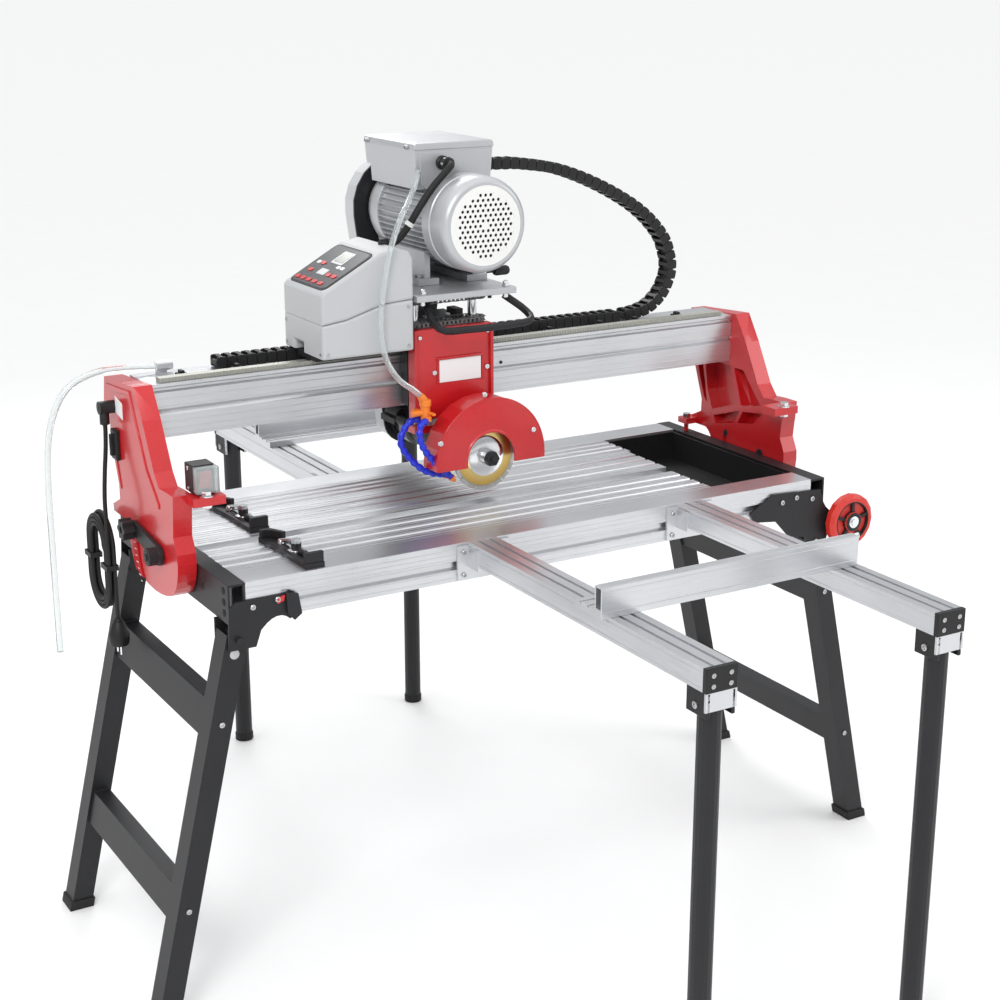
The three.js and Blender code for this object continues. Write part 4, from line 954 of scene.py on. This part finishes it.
def make_legs():
    for side, body, hinge_z in ((-1, "left_legs", 683), (1, "right_legs", 641)):
        caps, bolts = [], []
        for y in (-235, 235):
            outline = [(side * (leg_x(z) + w), z) for w, z in ((-23.6, 0.2), (23.6, 0.2), (23.6, 17),
                    (22, 19), (-22, 19), (-23.6, 17))]
            caps.append(prism("Y", outline, y - 26.6, y + 26.6))
            s = -1 if y < 0 else 1
            for z in (208, 536):
                bolts.append(socket_screw("Y", y + s * 23, s, side * leg_x(z), z, 5, 3))
            profile = [(8.5, y + s * 23), (8.5, y + s * 24), (4, y + s * 24.8)]
            bolts.append(lathe("Y", profile, side * leg_x(hinge_z - 26), hinge_z - 26, 20))
        prefix = "left" if side < 0 else "right"
        piece(prefix + "_foot_caps", caps, "rubber_black", body, 2)
        piece(prefix + "_leg_bolts", bolts, "steel_raw", body)
        welds = []
        for z0, z1 in ((178, 238), (505, 568)):
            for y in (-211.5, 211.5):
                for z in (z0, z1):
                    a = Vector((side * (leg_x(z) - 14), y, z))
                    b = Vector((side * (leg_x(z) + 14), y, z))
                    welds.append(sweep([a.lerp(b, k / 12) for k in range(13)], 2.2, 8,
                            [2.2 + 0.6 * (k % 2) for k in range(13)]))
        piece(prefix + "_welds", welds, "black_coat", body)


WHEEL_X, WHEEL_Z = 685, 688


def make_wheels():
    for s, body in ((-1, "front_wheel"), (1, "rear_wheel")):
        face = s * 286
        hub = [lathe("Y", [(8, face + s * 11), (19, face + s * 10.5), (21, face), (37, face),
                (39, face + s * 7.6), (41, face + s * 7.6),
                (41, face - s * 4), (8, face - s * 4)], WHEEL_X, WHEEL_Z, 36, True)]
        for k in range(5):
            t = 2 * pi * k / 5 + 0.3
            c, q = cos(t), sin(t)
            outline = [(WHEEL_X + r * c - w * q, WHEEL_Z + r * q + w * c) for r,
                    w in ((18, -3.4), (38, -3.4), (38, 3.4), (18, 3.4))]
            hub.append(prism("Y", outline, min(face, face + s * 6.5), max(face, face + s * 6.5)))
        piece(body + "_hub", hub, "black_mould", body, 0.5)
        nut = [hex_head("Y", min(s * 301.4, s * 296), max(s * 301.4, s * 296), WHEEL_X, WHEEL_Z, 8.5),
                lathe("Y", [(12, s * 296), (12, s * 297.6)], WHEEL_X, WHEEL_Z, 24)]
        piece(body + "_nut", nut, "chrome", body, 0.3)


ARMS = (("front_left_arm", -148.5, 949, -1), ("front_right_arm", 302.5, 949, -1),
        ("rear_left_arm", -191, 812, 1), ("rear_right_arm", 259, 812, 1))


def span_y(s, a, b):
    """Ends in Y, lowest first, of a stretch from a to b out from the middle on side s."""
    return sorted((s * a, s * b))


def make_arms():
    for name, x, end, s in ARMS:
        y0, y1 = span_y(s, end - 3, end + 6.6)
        black = [block(x - 29.2, x + 29.2, y0, y1, 741.4, 780.8)]
        y0, y1 = span_y(s, end - 45, end + 6)
        for side in (-1, 1):
            c = x + side * 23
            black.append(block(c - 3.2, c + 3.2, y0, y1, 701, 742))
        piece(name + "_end", black, "black_mould", name, 1.4)
        screws = [socket_screw("Y", s * (end + 6.4), s, x + side * 16, z, 4, 1.2) for side in (-1, 1)
                for z in (752, 769)]
        screws += [socket_screw("X", x + side * 26.2, side, s * (end - 21), 716, 6, 3) for side in (-1, 1)]
        screws += [socket_screw("Y", s * 265.4, s, x + side * 41, z, 4.6, 4) for side in (-1, 1)
                for z in (722, 764)]
        piece(name + "_screws", screws, "steel_raw", name)
        strips = []
        y0, y1 = span_y(s, 262, end - 3)
        for side in (-1, 1):
            for z in (747, 772):
                strips.append(block(*sorted((x + side * 28.3, x + side * 29.2)), y0 + 4, y1 - 2, z - 1,
                        z + 1))
        piece(name + "_ribs", strips, "aluminium_y", name, 0.25)
        foot = lathe("Z", [(19.6, 0.2), (20.8, 2), (20.8, 16), (19.6, 18)], x, s * (end - 21), 28)
        piece(name + "_foot", [foot], "rubber_black", name + "_leg")


LEVER_Z = 801.9


def make_fences():
    strips = [block(-194, 325, -707.9, -706.9, z - 1, z + 1) for z in (790, 824)]
    strips += [block(-194, 325, -705, -703, 832, 833), block(-194, 325, -692, -690, 832, 833)]
    piece("front_fence_ribs", strips, "aluminium_x", "front_fence", 0.25)
    for name, body, x, y, s in (("front_left", "front_left_lever", -148.5, -657, 1),
            ("front_right", "front_right_lever", 302.5, -657, 1), ("rear", "rear_lever", 259, 530, -1)):
        z = LEVER_Z
        tip = [lathe("Z", [(7, z + 7.6), (7, z + 12), (5, z + 14)], x, y, 20)]
        arm = [Vector((x + 14, y - 2 * s, z + 8)), Vector((x + 34, y - 5 * s, z + 11)),
                Vector((x + 48, y - 8 * s, z + 14)), Vector((x + 58, y - 9 * s, z + 15))]
        tip.append(sweep(arm, 3.6, 12, [3, 3.6, 4.4, 5]))
        piece(name + "_lever_grip", tip, "chrome", body, 0.3)


STOP_X = -470


def make_stops():
    for body, y in (("front_stop", -166), ("rear_stop", 66)):
        x = STOP_X
        metal = [rod("Z", 7, 789, 810, x, y - 12), hex_head("Z", 803, 811, x, y - 12, 9),
                lathe("Z", [(15, 789.4), (15, 792.5), (11, 794)], x, y - 12, 24),
                lathe("Z", [(6, 789.4), (6, 797), (4.5, 799)], x - 8, y + 34, 16)]
        handle = [(x - 8, y + 34, 797), (x - 2, y + 10, 803), (x, y - 12, 806)]
        metal.append(sweep(smooth_path(handle, 12), 3.6, 10))
        metal.append(block(x - 3, x + 3, y - 56, y + 26, 789.6, 791.4))
        piece(body + "_clamp", metal, "chrome", body, 0.3)
        black = [block(x - 17, x + 17, y - 87, y - 78, 789.4, 808),
                block(x - 4, x + 2, y - 78, y - 20, 789.4, 799)]
        black.append(prism("Z", [(x - 25, y + 91), (x - 5, y + 91), (x + 12, y + 58), (x + 4, y + 56),
                (x - 12, y + 82), (x - 24, y + 82)], 789.4, 804))
        piece(body + "_blade", black, "black_coat", body, 1)


# ---------- cords ----------
def curve_piece(name, points, radius, material, body, replaces):
    data = bpy.data.curves.new(name, "CURVE")
    data.dimensions = "3D"
    data.bevel_depth = radius / 1000
    data.bevel_resolution = 4
    data.use_fill_caps = True
    spline = data.splines.new("POLY")
    spline.points.add(len(points) - 1)
    for point, p in zip(spline.points, points):
        point.co = (*row(p), 1)
    data.materials.append(MATERIALS[material])
    o = add_object(name, data)
    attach(o, body)
    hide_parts(*replaces)
    return o


LEAD_X = -686.3          # where the cord leaves the breaker box
OUTER_X, INNER_X = -701.3, -691.3    # the two layers of the hank
HANK_Y = 190
HANK_LOW, HANK_HIGH = 672, 740       # centres of its lower and upper bends
RUN_Y = 132.5
CORD_END_Z = 609.7


def hank_turn(x, r0, r1, turns):
    """Points of an oblong spiral in the plane x, from its front run down; r0 and r1 are its half widths."""
    out = []
    steps = 32
    for i in range(turns * steps + 1):
        k = i % steps
        r = r0 + (r1 - r0) * i / (turns * steps)
        if k < 6:
            y, z = -r, HANK_HIGH - (HANK_HIGH - HANK_LOW) * k / 6
        elif k < 16:
            t = pi * (k - 6) / 10
            y, z = -r * cos(t), HANK_LOW - r * sin(t)
        elif k < 22:
            y, z = r, HANK_LOW + (HANK_HIGH - HANK_LOW) * (k - 16) / 6
        else:
            t = pi * (k - 22) / 10
            y, z = r * cos(t), HANK_HIGH + r * sin(t)
        out.append((x, HANK_Y + y, z))
    return out


def make_cords():
    x = LEAD_X
    lead = [(x, 150, 969.7), (x, 150, 955), (x - 2, 149, 925), (x - 7, 145, 890), (x - 12, 139, 855),
            (OUTER_X, 133.5, 825), (OUTER_X, RUN_Y, 800), (OUTER_X, RUN_Y, 770)]
    first = hank_turn(OUTER_X, 57.5, 34, 3)
    second = hank_turn(INNER_X, 34, 57.5, 3)
    bridge = [(-697.5, HANK_Y - 34, 728), (-693.5, HANK_Y - 34, 712)]
    last = [(INNER_X, RUN_Y, 700), (INNER_X, RUN_Y, 660), (INNER_X, RUN_Y, 630),
            (INNER_X, RUN_Y, CORD_END_Z)]
    route = lead + first[:-1] + [(OUTER_X, HANK_Y - 34,
            742)] + bridge + second[3:-1] + [(INNER_X, RUN_Y, 740)] + last
    points = smooth_path(route, 700)
    cord = curve_piece("mains_cord", points, 4, "rubber_black", "gantry",
            ["power_cord", "cord_hank"])
    ties = []
    for y_low, y_high in ((127.5, 161.5), (218.5, 252.5)):
        ring = [(-707.8, y_low), (-684.8, y_low), (-684.8, y_high), (-707.8, y_high)]
        inner = [(-706.4, y_low + 1.4), (-686.2, y_low + 1.4), (-686.2, y_high - 1.4),
                (-706.4, y_high - 1.4)]
        verts = [(u, v, z) for z in (701, 711) for u, v in ring + inner]
        faces = []
        for k in range(4):
            j = (k + 1) % 4
            faces += [(k, j, 8 + j, 8 + k), (4 + k, 12 + k, 12 + j, 4 + j), (k, 4 + k, 4 + j, j),
                    (8 + k, 8 + j, 12 + j, 12 + k)]
        ties.append((verts, faces))
    tie = piece("hank_ties", ties, "black_mould", "gantry", 0.4)
    body = [lathe("Z", [(11, 556), (17, 558), (19, 566), (19, 580), (15, 590), (11, 600), (7.5, 604),
            (5.6, 609.6)], INNER_X, RUN_Y, 28)]
    body += [lathe("Z", [(8.6, z), (9.4, z + 1), (8.6, z + 2)], INNER_X, RUN_Y, 20) for z in (599, 603)]
    plug = piece("mains_plug", body, "black_mould", "gantry", 0.4, ["plug"])
    pins = [rod("Z", 2.4, 540.4, 558, INNER_X, RUN_Y + d, 12) for d in (-9.5, 9.5)]
    pins = piece("plug_pins", pins, "chrome", "gantry")
    relief = [lathe("Z", [(5.2, 968), (6, 972), (8.6, 984), (9.4, 992), (11, 994), (11, 1006)], x, 150, 20)]
    piece("cord_relief", relief, "black_mould", "gantry")
    tail = [(-590.3, 140, 1066), (-604, 140, 1066), (-645, 142, 1069), (-700, 144, 1066), (-752, 146, 1042),
            (-784, 146, 985), (-796, 146, 900), (-798, 146, 760), (-798, 146, 560)]
    points = smooth_path(tail, 60)
    hose = curve_piece("supply_hose", points, 6, "clear_tube", "gantry", ["hose_tail"])


make_camera()
make_stage()
make_materials()
dress_cad()
make_cords()
make_motor()
make_junction_box()
make_conduit()
make_energy_chain()
make_bridge_details()
make_control_box()
make_lift_drive()
make_column()
make_blade()
make_coolant()
make_belt_cover()
make_brackets()
make_switch()
make_table_details()
make_legs()
make_wheels()
make_arms()
make_fences()
make_stops()
